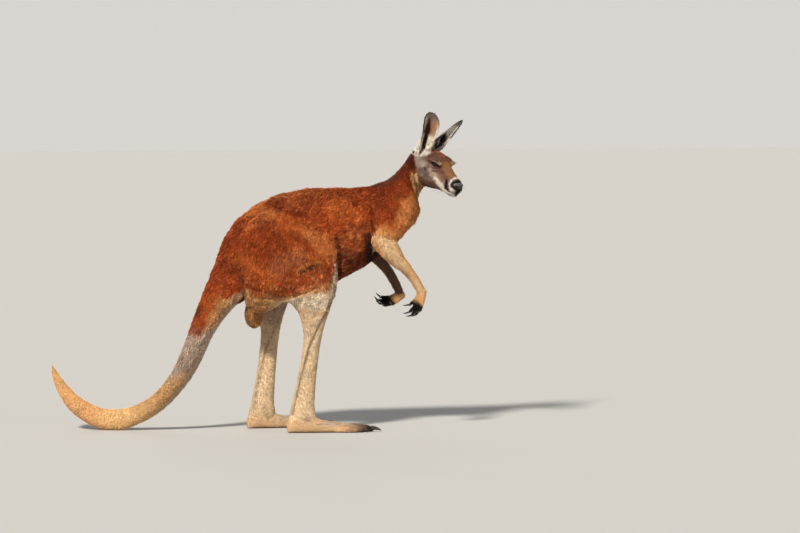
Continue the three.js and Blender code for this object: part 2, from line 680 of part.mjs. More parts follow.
for (const [name, arm] of Object.entries(arms)) {
	const placed = (rows) => rows.map(([x, y, ...rest]) => [x, arm.side * y, ...rest]);
	const upperArm = (grow = 0) => solid(limb(placed(arm.upper), 1, 18, grow));
	const forearm = (grow = 0) => solid(limb(placed(arm.fore), 1, 16, grow));
	add(kangaroo, `upper_arm_${name}`, cut(upperArm(), trunkGrown), materials.russet);
	add(kangaroo, `forearm_${name}`, cut(forearm(), upperArm(gap), trunkGrown), materials.fawn);

	const frame = frameOf(arm.wrist, arm.fingers, arm.across);
	const group = groupAt(`hand_frame_${name}`, frame);
	const mirror = new THREE.Matrix4().makeScale(1, arm.side, 1);
	const forearmHere = solid(geometryOf(forearm(gap)), frame.clone().invert());
	add(group, `hand_${name}`, cut(hand(mirror), forearmHere), materials.black);
	fingers.forEach((finger, n) => {
		const claw = solid(limb(clawRings(finger), 1, 6), mirror);
		add(group, `claw_hand_${n + 1}_${name}`, cut(claw, hand(mirror, gap)), materials.claw);
	});
}

// ---------------------------------------------------------------- scrotum and place

add(kangaroo, 'scrotum', cut(
	solid(stacked(scrotumRings, 1, 14)), trunkGrown, thigh(right, gap), thigh(left, gap)), materials.scrotum);

// The origin is on the floor, under the middle of the animal's box.
const middle = new THREE.Box3().setFromObject(kangaroo, true).getCenter(new THREE.Vector3());
kangaroo.position.set(-middle.x, -middle.y, 0);

export default kangaroo;
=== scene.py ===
import math

import bmesh
import bpy
import numpy as np
from mathutils import Matrix, Vector
from mathutils.bvhtree import BVHTree
from mathutils.kdtree import KDTree


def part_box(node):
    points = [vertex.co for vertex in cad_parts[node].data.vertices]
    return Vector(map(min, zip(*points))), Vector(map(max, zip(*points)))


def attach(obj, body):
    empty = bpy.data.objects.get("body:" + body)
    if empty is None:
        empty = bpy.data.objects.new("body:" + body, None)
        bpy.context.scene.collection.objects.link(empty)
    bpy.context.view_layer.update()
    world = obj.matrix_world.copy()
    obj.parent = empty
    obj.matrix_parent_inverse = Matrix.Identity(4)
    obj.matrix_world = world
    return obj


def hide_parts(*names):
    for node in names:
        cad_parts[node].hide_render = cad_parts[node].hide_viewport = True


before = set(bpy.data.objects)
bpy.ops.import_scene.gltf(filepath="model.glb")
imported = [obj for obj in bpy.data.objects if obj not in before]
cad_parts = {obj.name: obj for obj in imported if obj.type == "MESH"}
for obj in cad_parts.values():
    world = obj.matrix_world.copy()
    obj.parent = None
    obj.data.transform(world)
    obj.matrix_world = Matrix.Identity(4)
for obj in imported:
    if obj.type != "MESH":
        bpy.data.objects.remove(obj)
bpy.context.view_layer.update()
scene = bpy.context.scene
draw = np.random.default_rng(17)
mm = 0.001


def addObject(name, data):
    made = bpy.data.objects.new(name, data)
    scene.collection.objects.link(made)
    return made


def smoothShade(mesh):
    mesh.polygons.foreach_set("use_smooth", np.ones(len(mesh.polygons), bool))


def centreOf(node):
    low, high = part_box(node)
    return (low + high) / 2


def unit(vectors):
    return vectors / np.maximum(np.linalg.norm(vectors, axis=-1, keepdims=True), 1e-9)


def ramp(low, high, value):
    # 0 below low, 1 above high, smooth between
    share = np.clip((value - low) / (high - low), 0, 1)
    return share * share * (3 - 2 * share)


def bell(value, width):
    # 1 where the value is 0, falling away within about that width
    return np.exp(-((value / width) ** 2))


def tone(red, green, blue):
    # a colour as the eye reads it, 0 to 255, turned to linear light
    shown = np.array([red, green, blue]) / 255
    return np.where(shown <= 0.04045, shown / 12.92, ((shown + 0.055) / 1.055) ** 2.4)


scatter = np.array([73856093, 19349663, 83492791])  # turns the place of a cell into a number of its own


def patches(points, size, seed):
    # soft random blotches of that size in mm, from -1 to 1, the same on every run
    cell = points / size
    base = np.floor(cell).astype(np.int64)
    inside = cell - base
    inside = inside * inside * (3 - 2 * inside)
    total = np.zeros(len(points))
    for corner in range(8):
        step = np.array([corner & 1, corner >> 1 & 1, corner >> 2 & 1])
        key = (base + step) @ scatter + seed * 7919
        key = (key ^ key >> 13) * 1274126177
        key = (key ^ key >> 16) & 0xFFFF
        weight = np.prod(np.where(step, inside, 1 - inside), axis=1)
        total += weight * (key / 32767.5 - 1)
    return total


def distanceTo(path, points):
    # from each point to the line along path, less the line's half width where path's places end with one
    size = points.shape[1]
    path = np.asarray(path, float)
    halves = path[:, size] if path.shape[1] > size else np.zeros(len(path))
    corners = path[:, :size]
    nearest = np.full(len(points), np.inf)
    for turn, start in enumerate(corners[:-1]):
        run = corners[turn + 1] - start
        share = np.clip((points - start) @ run / max(run @ run, 1e-12), 0, 1)
        gap = np.linalg.norm(points - start - share[:, None] * run, axis=1)
        nearest = np.minimum(nearest, gap - halves[turn] - share * (halves[turn + 1] - halves[turn]))
    return nearest


# The body's own frame, in mm from a point on the floor that the right heel fixes.
heelCorner = np.array([79.46, -151.01, 0])
home = np.array(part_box("foot_right")[0]) - heelCorner * mm


def inBody(points):
    return (points - home) / mm


def bodyPoint(x, y, z):
    return Vector(home + np.array([x, y, z]) * mm)


cameraSettings = {
    "target": (512.65, 0, 583),
    "towards": (-0.207, -0.975, 0.0545),
    "distance": 14.0,  # metres
    "lens": 175.0,
    "sensor": 36,
    "sees": 200,  # metres
}


def makeCamera():
    data = bpy.data.cameras.new("camera")
    data.lens = cameraSettings["lens"]
    data.sensor_width = cameraSettings["sensor"]
    data.clip_end = cameraSettings["sees"]
    camera = addObject("camera", data)
    back = Vector(cameraSettings["towards"]).normalized()
    camera.location = bodyPoint(*cameraSettings["target"]) + back * cameraSettings["distance"]
    camera.rotation_euler = back.to_track_quat("Z", "Y").to_euler()
    scene.camera = camera


lightSettings = {
    "horizon": (0.69, 0.668, 0.634),
    "zenith": (0.2, 0.21, 0.22),
    "fades": (0.1, 0.4),  # of the way up
    "lamps": {
        "key": {"from": (-0.50, -0.62, 0.72), "angle": 0.14, "strength": 4.7, "colour": (1.0, 0.94, 0.84)},
        "fill": {"from": (0.75, -0.6, 0.4), "angle": 0.8, "strength": 0.25, "colour": (0.95, 0.97, 1.0)},
        "back": {"from": (0.1, 0.8, 0.65), "angle": 0.8, "strength": 0.45, "colour": (1.0, 0.98, 0.95)},
    },
}


def makeLamps():
    for name, lamp in lightSettings["lamps"].items():
        data = bpy.data.lights.new(name, "SUN")
        data.energy = lamp["strength"]
        data.angle = lamp["angle"]
        data.color = lamp["colour"]
        addObject(name, data).rotation_euler = Vector(lamp["from"]).to_track_quat("Z", "Y").to_euler()


makeCamera()
makeLamps()
scene.view_settings.view_transform = "Standard"
print("camera and lamps are set")


class Wire:
    # a socket that takes part in sums
    def __init__(self, board, socket):
        self.board = board
        self.socket = socket

    def maths(self, operation, other):
        return self.board.add("ShaderNodeMath", {"operation": operation}, {0: self, 1: other})

    def __add__(self, other):
        return self.maths("ADD", other)

    def __mul__(self, other):
        return self.maths("MULTIPLY", other)

    def between(self, low, high):
        # 0 below low, 1 above high
        settings = {"interpolation_type": "SMOOTHSTEP", "clamp": True}
        values = {"Value": self, "From Min": low, "From Max": high}
        return self.board.add("ShaderNodeMapRange", settings, values)


class Board:
    # the node tree of one material
    def __init__(self, name, **surface):
        self.material = bpy.data.materials.new(name)
        self.material.use_nodes = True
        self.tree = self.material.node_tree
        self.shader = self.tree.nodes["Principled BSDF"]
        for socket, value in surface.items():
            self.shader.inputs[socket.replace("_", " ")].default_value = value

    def put(self, target, value):
        if isinstance(value, Wire):
            self.tree.links.new(value.socket, target)
        elif target.type == "RGBA":
            target.default_value = (*value, 1)
        else:
            target.default_value = value

    def add(self, kind, settings=None, values=None, output=0):
        node = self.tree.nodes.new(kind)
        for key, setting in (settings or {}).items():
            setattr(node, key, setting)
        for socket, value in (values or {}).items():
            self.put(node.inputs[socket], value)
        return Wire(self, node.outputs[output])

    def place(self):
        return self.add("ShaderNodeTexCoord", output="Object")

    def noise(self, place, scale, detail=2.0):
        values = {"Vector": place, "Scale": scale, "Detail": detail, "Roughness": 0.5}
        return self.add("ShaderNodeTexNoise", None, values, "Fac")

    def mix(self, share, first, second, blend="MIX"):
        settings = {"data_type": "RGBA", "blend_type": blend}
        return self.add("ShaderNodeMix", settings, {0: share, 6: first, 7: second}, 2)

    def coatColour(self, shade):
        # the markings, darker and lighter by a shade round 1
        colour = self.add("ShaderNodeAttribute", {"attribute_name": "coat"}, None, "Color")
        grey = self.add("ShaderNodeCombineColor", None, {0: shade, 1: shade, 2: shade})
        return self.mix(1.0, colour, grey, "MULTIPLY")

    def feed(self, **sockets):
        for socket, value in sockets.items():
            self.put(self.shader.inputs[socket.replace("_", " ")], value)
        return self.material

    def bump(self, height, strength, distance):
        values = {"Strength": strength, "Distance": distance, "Height": height}
        return self.add("ShaderNodeBump", None, values, "Normal")


class SkyBoard(Board):
    # the node tree of the world
    def __init__(self, world):
        world.use_nodes = True
        self.material = world
        self.tree = world.node_tree
        self.shader = self.tree.nodes["Background"]


def makeSky():
    scene.world = bpy.data.worlds.new("studio")
    board = SkyBoard(scene.world)
    way = board.add("ShaderNodeTexCoord", output="Generated")
    height = board.add("ShaderNodeSeparateXYZ", None, {"Vector": way}, "Z")
    share = height.between(*lightSettings["fades"])
    board.feed(Color=board.mix(share, lightSettings["horizon"], lightSettings["zenith"]))


makeSky()

floorSettings = {
    "half": 40.0,  # metres
    "colour": (0.5, 0.493, 0.48),
    "spots": 0.97,  # of its colour
}


def makeFloor():
    shape = bmesh.new()
    bmesh.ops.create_grid(shape, x_segments=1, y_segments=1, size=floorSettings["half"])
    mesh = bpy.data.meshes.new("floor")
    shape.to_mesh(mesh)
    shape.free()
    board = Board("pale floor", Roughness=0.85)
    colour = np.array(floorSettings["colour"])
    spots = board.mix(board.noise(board.place(), 3.0), colour, colour * floorSettings["spots"])
    mesh.materials.append(board.feed(Base_Color=spots))
    addObject("floor", mesh)


makeFloor()

# Landmarks, worked out from the frame.
eyeMiddle = (centreOf("eye_right") + centreOf("eye_left")) / 2
noseDrop = math.atan2(39, 99)  # the nose pad lies this far below the line of the skull, seen from the eyes
headSide = (centreOf("eye_left") - centreOf("eye_right")).normalized()
headForward = Matrix.Rotation(-noseDrop, 3, headSide) @ (centreOf("nose") - eyeMiddle).normalized()
headUp = headForward.cross(headSide)
crownBack, crownUp = 75, 19  # mm from the middle of the eyes
crown = np.array(eyeMiddle - crownBack * mm * headForward + crownUp * mm * headUp)
headAxes = np.array([headForward, headSide, headUp])
setBack = (centreOf("foot_right") - centreOf("foot_left")).x  # the left foot stands this far behind
hipHeight = 650  # mm, where a leg starts to be set back, and how far down it takes to reach the whole of it
setBackWithin = 210
sides = {"right": -1, "left": 1}
digits = "12345"


def headPoint(x, y, z):
    # from the head's own frame, in mm: ahead, to its left, up from the crown
    return crown + np.array([x, y, z]) * mm @ headAxes


def inHead(points):
    return (points - crown) @ headAxes.T / mm


def legShift(side, z):
    # how far a leg is set back at a height, the height in mm and the answer in metres
    return 0 if side == -1 else -setBack * ramp(0, setBackWithin, hipHeight - z)


# Groups of flesh and the nodes that each is made from.
flesh = {
    "torso": ["torso"], "neck": ["neck"], "head": ["head"], "nosePad": ["nose"],
    "orb": ["eye_right", "eye_left"],
    "earRight": ["ear_right"], "earLeft": ["ear_left"],
    "tailBase": ["tail_base"], "tailMiddle": ["tail_middle"],
    "tailEnd": ["tail_end"], "tailTip": ["tail_tip"],
    "thighRight": ["thigh_right"], "thighLeft": ["thigh_left"],
    "shankRight": ["shank_right"], "shankLeft": ["shank_left"],
    "footRight": ["foot_right"], "footLeft": ["foot_left"],
    "upperArmRight": ["upper_arm_right"], "upperArmLeft": ["upper_arm_left"],
    "forearmRight": ["forearm_right"], "forearmLeft": ["forearm_left"],
    "handRight": ["hand_right"], "handLeft": ["hand_left"], "scrotum": ["scrotum"],
}
groups = list(flesh)
kinds = {name: name.replace("Right", "").replace("Left", "") for name in groups}
kindOf = list(kinds.values())
headNames = ("head", "orb", "nosePad")

# Per kind, in mm: how far its copy grows before the union, how far the skin lies under the coat's tips,
# rounds of smoothing, and for the coat its length, width, spacing, lift and how patchy it is.
fleshColumns = ("grow", "depth", "rounds", "length", "width", "spacing", "lift", "patchy")
fleshSettings = {
    "torso": (0.5, 4.6, 70, 11.5, 2.3, 3.3, 0.26, 0.55),
    "neck": (0.5, 4.2, 24, 10.5, 2.0, 3.0, 0.26, 0.3),
    "head": (0.5, 1.8, 4, 5.5, 1.1, 2.15, 0.22, 0.16),
    "nosePad": (0.5, 2.4, 3, 0, 0, 9, 0, 0),
    "orb": (0.4, 1.6, 3, 3.2, 0.8, 2.0, 0.18, 0.1),
    "ear": (1.5, 2.0, 3, 6, 1.1, 2.6, 0.16, 0.14),
    "tailBase": (0.5, 4.0, 34, 11, 2.2, 3.3, 0.24, 0.36),
    "tailMiddle": (0.5, 3.0, 26, 9, 1.9, 3.1, 0.24, 0.3),
    "tailEnd": (0.5, 2.4, 22, 8, 1.8, 3.1, 0.22, 0.22),
    "tailTip": (0.5, 2.0, 10, 8, 1.7, 3.0, 0.22, 0.2),
    "thigh": (0.5, 4.6, 50, 11.5, 2.2, 3.3, 0.26, 0.52),
    "shank": (0.5, 2.4, 14, 8, 1.8, 3.25, 0.2, 0.2),
    "foot": (0.5, 1.8, 6, 6, 1.3, 3.0, 0.18, 0.2),
    "upperArm": (0.5, 4.0, 26, 10, 2.0, 3.2, 0.26, 0.34),
    "forearm": (0.5, 2.8, 12, 8, 1.6, 3.0, 0.26, 0.32),
    "hand": (0.5, 1.2, 4, 5, 1.1, 2.5, 0.2, 0.2),
    "scrotum": (0.5, 2.0, 6, 8, 1.4, 2.6, 0.3, 0.5),
}


def sideOf(name):
    return -1 if name.endswith("Right") else 1


def perGroup(key):
    return np.array([fleshSettings[kind][fleshColumns.index(key)] for kind in kindOf], float)


def within(numbers, *names):
    # which of those numbers are of the named groups
    return np.isin(numbers, [groups.index(name) for name in names])


def nodeCopy(node, grow):
    # a welded copy of a node, swelled along its normals
    shape = bmesh.new()
    shape.from_mesh(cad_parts[node].data)
    bmesh.ops.remove_doubles(shape, verts=shape.verts, dist=1e-6)
    shape.normal_update()
    for vertex in shape.verts:
        vertex.co += vertex.normal * grow
    return shape


def joined(nodes, grows):
    # one mesh of swelled copies of those nodes
    whole = bmesh.new()
    for node, grow in zip(nodes, grows):
        part = bpy.data.meshes.new("part")
        shape = nodeCopy(node, grow)
        shape.to_mesh(part)
        shape.free()
        whole.from_mesh(part)
        bpy.data.meshes.remove(part)
    return whole


def nodeTree():
    # places all over the nodes, each with the number of its group
    found = []
    for number, name in enumerate(groups):
        for node in flesh[name]:
            shape = nodeCopy(node, 0)
            bmesh.ops.subdivide_edges(shape, edges=shape.edges, cuts=2, use_grid_fill=True)
            found += [(vertex.co.copy(), number) for vertex in shape.verts]
            shape.free()
    tree = KDTree(len(found))
    for index, (place, _) in enumerate(found):
        tree.insert(place, index)
    tree.balance()
    return tree, [number for _, number in found]


groupTree, groupAt = nodeTree()


def groupsOf(points):
    return np.array([groupAt[groupTree.find(point)[1]] for point in points.tolist()])


class Surface:
    # a mesh as arrays, with what is worked out over it
    def __init__(self, mesh):
        self.mesh = mesh
        self.points = self.read(mesh.vertices, "co", 3)
        edges = self.read(mesh.edges, "vertices", 2, np.int32)
        self.ends = np.concatenate([edges, edges[:, ::-1]])
        self.count = np.maximum(np.bincount(self.ends[:, 0], minlength=len(self.points)), 1)

    @staticmethod
    def read(items, name, width, kind=np.float32):
        found = np.empty(len(items) * width, kind)
        items.foreach_get(name, found)
        found = found.reshape(-1, width) if width > 1 else found
        return found.astype(float) if kind is np.float32 else found

    def around(self, values):
        # the mean over each point's neighbours
        flat = values.reshape(len(values), -1)
        sums = [np.bincount(self.ends[:, 0], column[self.ends[:, 1]], len(flat)) for column in flat.T]
        return (np.stack(sums, 1) / self.count[:, None]).reshape(values.shape)

    def spread(self, values, rounds):
        for _ in range(rounds):
            values = (values + self.around(values)) / 2
        return values

    def relax(self, rounds):
        # smooths each point for its own number of rounds
        for turn in range(int(rounds.max())):
            share = 0.5 * np.clip(rounds - turn, 0, 1)[:, None]
            self.points += share * (self.around(self.points) - self.points)

    def normals(self):
        self.write()
        return self.read(self.mesh.vertices, "normal", 3)

    def write(self):
        self.mesh.vertices.foreach_set("co", self.points.astype(np.float32).ravel())
        self.mesh.update()

    def push(self, amount, normals):
        self.points += normals * amount[:, None]


def withModifier(piece, kind, **settings):
    # the piece's mesh replaced by what one modifier makes of it
    modifier = piece.modifiers.new(kind.title(), kind)
    for key, value in settings.items():
        setattr(modifier, key, value)
    made = bpy.data.meshes.new_from_object(piece.evaluated_get(bpy.context.evaluated_depsgraph_get()))
    piece.modifiers.remove(modifier)
    old, piece.data = piece.data, made
    bpy.data.meshes.remove(old)


skinSettings = {
    "voxel": 2.6 * mm,
    "triangles": 138000,
    "finePlaces": 1.6,  # how much of the detail is kept on head, hands and feet against the rest
    "fineKinds": ["head", "nosePad", "orb", "ear", "hand", "foot"],
    "roundsFade": 16,  # how softly one group's smoothing passes into the next one's
    "depthFade": 12,
    "fineFade": 6,
}


def joinFlesh():
    nodes = [node for name in groups for node in flesh[name]]
    grows = [grow * mm for name, grow in zip(groups, perGroup("grow")) for _ in flesh[name]]
    whole = joined(nodes, grows)
    mesh = bpy.data.meshes.new("skin")
    whole.to_mesh(mesh)
    whole.free()
    return addObject("skin", mesh)


def dropLoosePieces(piece):
    # keeps only the largest connected surface
    shape = bmesh.new()
    shape.from_mesh(piece.data)
    unseen = set(shape.verts)
    islands = []
    while unseen:
        island = [unseen.pop()]
        for vertex in island:
            for edge in vertex.link_edges:
                other = edge.other_vert(vertex)
                if other in unseen:
                    unseen.remove(other)
                    island.append(other)
        islands.append(island)
    islands.sort(key=len)
    for island in islands[:-1]:
        bmesh.ops.delete(shape, geom=island, context="VERTS")
    shape.to_mesh(piece.data)
    shape.free()


skin = joinFlesh()
withModifier(skin, "REMESH", mode="VOXEL", voxel_size=skinSettings["voxel"])
dropLoosePieces(skin)
print("skin remeshed:", len(skin.data.vertices), "points")

surface = Surface(skin.data)
skinGroup = groupsOf(surface.points)
surface.relax(surface.spread(perGroup("rounds")[skinGroup], skinSettings["roundsFade"]))
surface.push(-mm * surface.spread(perGroup("depth")[skinGroup], skinSettings["depthFade"]), surface.normals())
surface.write()
print("skin smoothed and set under the coat")

# Folds of both flanks: whether it is a leg's own, and so moves back with the left leg, its width and depth
# in mm, and its path as [x, z] on the right flank.
bodyFolds = {
    "shankGroove": (True, 6.5, 6.0,
                    [(228, 462), (216, 436), (184, 369), (153, 297), (130, 208), (114, 136), (98, 66)]),
    "thighCrease": (True, 6, 6, [(-40, 484), (-10, 482), (36, 482), (60, 484), (101, 490), (138, 503),
                                 (175, 520)]),
    "thighFold": (True, 5, 4, [(104, 569), (134, 581), (155, 594), (188, 601)]),
    "seatFold": (True, 4, 4, [(-66, 478), (-40, 462), (-6, 460), (30, 464)]),
    "lobeCrease": (True, 4, 3, [(-75, 453), (-50, 440), (-25, 432)]),
    "kneeHollow": (True, 16, 4, [(120, 470), (150, 450), (170, 420)]),
    "flankFold": (False, 11, 9, [(240, 722), (258, 670), (270, 625), (272, 560)]),
    "hipHollow": (False, 30, 6, [(120, 742), (170, 700), (200, 660)]),
    "shoulderBack": (False, 22, 5, [(400, 830), (392, 780), (398, 735)]),
    "shoulderCrease": (False, 6, 4, [(389, 800), (392, 760), (394, 721)]),
    "shoulderFront": (False, 16, 4, [(500, 846), (516, 800), (520, 760)]),
    "neckFold": (False, 5, 4, [(531, 910), (544, 882), (557, 852), (566, 830)]),
    "neckFoldFront": (False, 4.5, 3, [(556, 908), (568, 884), (578, 860)]),
    "tendonHollow": (True, 10, 3, [(160, 380), (140, 300), (122, 220), (108, 150)]),
    "ankleCrease": (True, 4.5, 3.2, [(196, 46), (176, 40), (152, 42), (132, 48)]),
}
outside = 600  # mm, a place well off the flank


def skinTree():
    return BVHTree.FromPolygons(surface.points.tolist(), [face.vertices[:] for face in skin.data.polygons])


def flankPoint(tree, x, z, side):
    # where a level line from the side meets the skin
    start = bodyPoint(x, side * outside, z)
    hit = tree.ray_cast(start, Vector((0, -side, 0)))[0]
    return hit if hit else start


def foldBody():
    tree = skinTree()
    normals = surface.normals()
    for onLeg, width, depth, path in bodyFolds.values():
        for side in sides.values():
            line = [(x + (legShift(side, z) / mm if onLeg else 0), z) for x, z in path]
            near = distanceTo([flankPoint(tree, x, z, side) for x, z in line], surface.points)
            surface.push(-depth * mm * bell(near, width * mm), normals)
    surface.write()


foldBody()
print("body folded")


def thinSkin():
    # fewer faces where the body is broad
    fine = np.array([kind in skinSettings["fineKinds"] for kind in kindOf], float)[skinGroup]
    fine = surface.spread(fine, skinSettings["fineFade"])
    holder = skin.vertex_groups.new(name="broad")
    levels = 10
    for level in range(levels + 1):
        chosen = np.flatnonzero(np.round((1 - fine) * levels) == level)
        holder.add(chosen.tolist(), level / levels, "REPLACE")
    triangles = sum(len(face.vertices) - 2 for face in skin.data.polygons)
    ratio = skinSettings["triangles"] / triangles
    withModifier(skin, "DECIMATE", decimate_type="COLLAPSE", ratio=ratio, vertex_group="broad",
                 vertex_group_factor=skinSettings["finePlaces"])
    skin.vertex_groups.clear()


thinSkin()
print("skin thinned:", len(skin.data.polygons), "faces")


def refine(chosen):
    # splits every edge between chosen points in two
    shape = bmesh.new()
    shape.from_mesh(skin.data)
    edges = [edge for edge in shape.edges if all(chosen[vertex.index] for vertex in edge.verts)]
    bmesh.ops.subdivide_edges(shape, edges=edges, cuts=1, use_grid_fill=True)
    bmesh.ops.triangulate(shape, faces=[face for face in shape.faces if len(face.verts) > 3])
    shape.to_mesh(skin.data)
    shape.free()
    return Surface(skin.data)


# The eye and its lids, in mm in the head's own frame.
eyeSettings = {
    "centre": (75, 33, -19), "gaze": (0.3, 0.92, 0.12), "ball": 13.6, "lid": 16.0,
    "half": 14.5, "above": 5.0, "below": 4.0,  # of the slit: half its width, and how far it opens
    "pocket": 6.5,  # how deep the skin goes behind the slit
    "slitEdge": (-0.4, 0.7),
    "cover": (16, 23),  # the lids' round shape fades out between these distances
    "flatter": 1.25,
    "mostLift": 3,
    "edge": 2.2,  # where the thick edge of the lids lies
    "edgeWidth": 1.6,
    "edgeBelow": 0.6,  # how thick the lower one is against the upper one
    "fine": 24,  # the skin is refined this far round the eye
    "near": 26,
}


def eyeFrame(side):
    # the eye's centre, and its axes: towards the nose, up, and out along its gaze
    x, y, z = eyeSettings["centre"]
    gaze = unit(np.array(eyeSettings["gaze"]) * (1, side, 1))
    up = unit(np.array([0, 0, 1]) - gaze * gaze[2])
    return np.array([x, side * y, z]), np.array([np.cross(up, gaze) * -side, up, gaze])


def slitMargin(across, height):
    # how far inside the slit between the lids, in mm, less than 0 outside it
    bow = 1 - (across / eyeSettings["half"]) ** 2
    return np.minimum(eyeSettings["above"] * bow - height, height + eyeSettings["below"] * bow)


# Lines round the eye: width, depth, and path as [towards the nose, up].
lidFolds = {
    "upperCrease": (1.5, 1.6, [(-18, 2), (-12, 8.5), (-3, 11.5), (7, 10.5), (14, 6.5), (18, 1)]),
    "browCrease": (2.4, 1.2, [(-22, 7), (-12, 16), (0, 19), (12, 17)]),
    "lowerCrease": (1.4, 1.4, [(-15, -4.5), (-7, -9), (3, -9.4), (12, -7), (17, -3)]),
    "lowerPouch": (2.0, 1.6, [(-14, -12), (-4, -17), (8, -16), (17, -11)]),
    "underCrease": (2.2, 2.0, [(-2, -27), (6, -27), (15, -24), (21, -19)]),
    "tearLine": (1.7, 1.8, [(13, -0.5), (19, -1.6), (25, -3.6)]),
    "outerLine": (1.5, 1.4, [(-13, 0), (-19, 0.5), (-25, 0)]),
}

faceSettings = {
    "beside": 90,  # a place well off the head
    "muzzle": 120,  # the skin is refined ahead of this
    "half": 60,
    "roundsBefore": 2.0,  # of smoothing, before and after the folds
    "roundsAfter": 1.0,
}
# Lines on each flank of the head: width, depth, which swells below 0, and path as [ahead, up].
faceFolds = {
    "mouth": (1.7, 3.0, [(139, -71), (144, -77), (151, -82), (160, -86), (170, -85), (180, -80)]),
    "upperLip": (3.4, -1.2, [(147, -74), (153, -77.5), (161, -80.5), (170, -79.5), (178, -75)]),
    "lowerLip": (2.6, -1.1, [(149, -87), (158, -91), (168, -90.5), (177, -86)]),
    "mouthCorner": (4.5, 2.2, [(136, -62), (140, -71)]),
    "lipBack": (5.0, 1.6, [(138, -52), (134, -62), (133, -76), (138, -88)]),
    "cheekEdge": (7.0, 1.8, [(92, -48), (100, -62), (98, -80), (88, -96)]),
    "stripeRidge": (7.0, -1.2, [(84, -54), (109, -67), (128, -77)]),
    "jawLine": (6.0, 1.4, [(24, -106), (52, -114), (84, -110), (112, -103)]),
    "templeHollow": (9.0, 2.4, [(36, -10), (42, -20), (38, -34)]),
    "bridgeSide": (6.0, 1.4, [(98, -36), (114, -44), (132, -52)]),
    "nostrilFold": (2.0, 1.2, [(157, -58), (160, -50), (165, -45)]),
}


def headFlank(tree, x, z, side):
    # where a level line from the side meets the head, in the head's own frame
    start = Vector(headPoint(x, side * faceSettings["beside"], z))
    hit = tree.ray_cast(start, -side * headSide)[0]
    return inHead(np.array([hit if hit else start]))[0]


def carveEyes(local, onHead):
    # rounds the lids, folds them and opens the slit
    lids = eyeSettings
    for side in sides.values():
        centre, axes = eyeFrame(side)
        turned = (local - centre) @ axes.T
        reach = np.linalg.norm(turned, axis=1)
        near = onHead & (turned[:, 2] > 0) & (reach < lids["near"])
        across, height, _ = turned.T
        cover = 1 - ramp(*lids["cover"], np.hypot(across, lids["flatter"] * height))
        lift = np.clip(lids["lid"] - reach, 0, lids["mostLift"]) * cover * near
        turned += turned / np.maximum(reach, 1)[:, None] * lift[:, None]
        margin = slitMargin(across, height)
        thick = bell(margin + lids["edge"], lids["edgeWidth"]) * np.where(height > 0, 1.0, lids["edgeBelow"])
        turned[:, 2] += thick * (abs(across) < lids["half"] + 0.5) * near
        for width, depth, path in lidFolds.values():
            turned[:, 2] -= depth * bell(distanceTo(path, turned[:, :2]), width) * near
        turned[:, 2] -= lids["pocket"] * ramp(*lids["slitEdge"], margin) * near
        local[near] = (turned @ axes + centre)[near]


def sculptHead():
    global surface
    fine = eyeSettings["fine"]
    for _ in range(2):
        surface = Surface(skin.data)
        local = inHead(surface.points)
        chosen = np.zeros(len(local), bool)
        for side in sides.values():
            centre, axes = eyeFrame(side)
            across, height, out = ((local - centre) @ axes.T).T
            chosen |= (out > 0) & (np.hypot(across, height) < fine) & (abs(out) < fine)
        surface = refine(chosen)
    local = inHead(surface.points)
    surface = refine((local[:, 0] > faceSettings["muzzle"]) & (abs(local[:, 1]) < faceSettings["half"]))
    onHead = within(groupsOf(surface.points), *headNames)
    surface.relax(np.where(onHead, faceSettings["roundsBefore"], 0))
    local = inHead(surface.points)
    carveEyes(local, onHead)
    surface.points = crown + local * mm @ headAxes
    normals = surface.normals()
    tree = skinTree()
    for width, depth, path in faceFolds.values():
        for side in sides.values():
            line = np.array([headFlank(tree, x, z, side) for x, z in path])
            surface.push(-depth * mm * bell(distanceTo(line, local), width) * onHead, normals)
    surface.write()


sculptHead()
skinGroup = groupsOf(surface.points)
surface.relax(np.where(within(skinGroup, "head"), faceSettings["roundsAfter"], 0))
skinNormals = surface.normals()
print("face sculpted:", len(skin.data.polygons), "faces")

# The colours of the coat, as the eye reads them.
shownTones = {
    "rust": (164, 70, 27), "deepRust": (118, 43, 16), "maroon": (74, 27, 13), "orange": (194, 97, 40),
    "gold": (226, 152, 86), "tip": (222, 140, 82), "tan": (212, 156, 104), "buff": (218, 170, 120),
    "beige": (196, 146, 102), "cream": (244, 210, 166), "sand": (236, 192, 136), "lilac": (194, 170, 152),
    "smoke": (100, 82, 74), "ash": (198, 180, 160), "cheek": (122, 102, 95), "brow": (104, 62, 44),
    "redBrown": (118, 74, 56), "ochre": (146, 100, 62), "pink": (170, 130, 114), "white": (244, 234, 220),
    "soot": (24, 19, 17), "black": (9, 8, 7), "scrotum": (184, 130, 80), "earTan": (176, 132, 98),
    "earDark": (38, 16, 12), "earGrey": (148, 136, 128), "earShade": (108, 94, 88),
}
tones = {name: tone(*shown) for name, shown in shownTones.items()}

# The middle of the tail, from its root to its tip.
tailLine = [(-95, 0, 546), (-131, 0, 499), (-165, 0, 445), (-207, 0, 370), (-242, 5, 283),
            (-281, 23, 200), (-336, 55, 124), (-385, 85, 81), (-436, 112, 53), (-490, 134, 37),
            (-554, 150, 41), (-607, 161, 67), (-650, 169, 99), (-681, 174, 137), (-705, 177, 177),
            (-719, 178, 210), (-726, 178, 237)]
napeLine = [(440, 0, 886), (495, -1, 908), (517, -2, 930), (540, -6, 962), (552, -10, 992)]
throatLine = [(580, -8, 838), (566, 0, 790), (540, 0, 730)]
# The pale edge down the front of the shin, as [x, z, half width].
shinLine = [(256, 617, 5), (262, 589, 7), (252, 546, 8), (240, 486, 8), (222, 429, 8), (205, 404, 8)]
# Where the rust of the thigh ends.
thighEdge = [(-100, 500), (-52, 490), (-10, 482), (36, 484), (90, 490), (124, 498), (162, 507), (197, 513),
             (262, 522)]
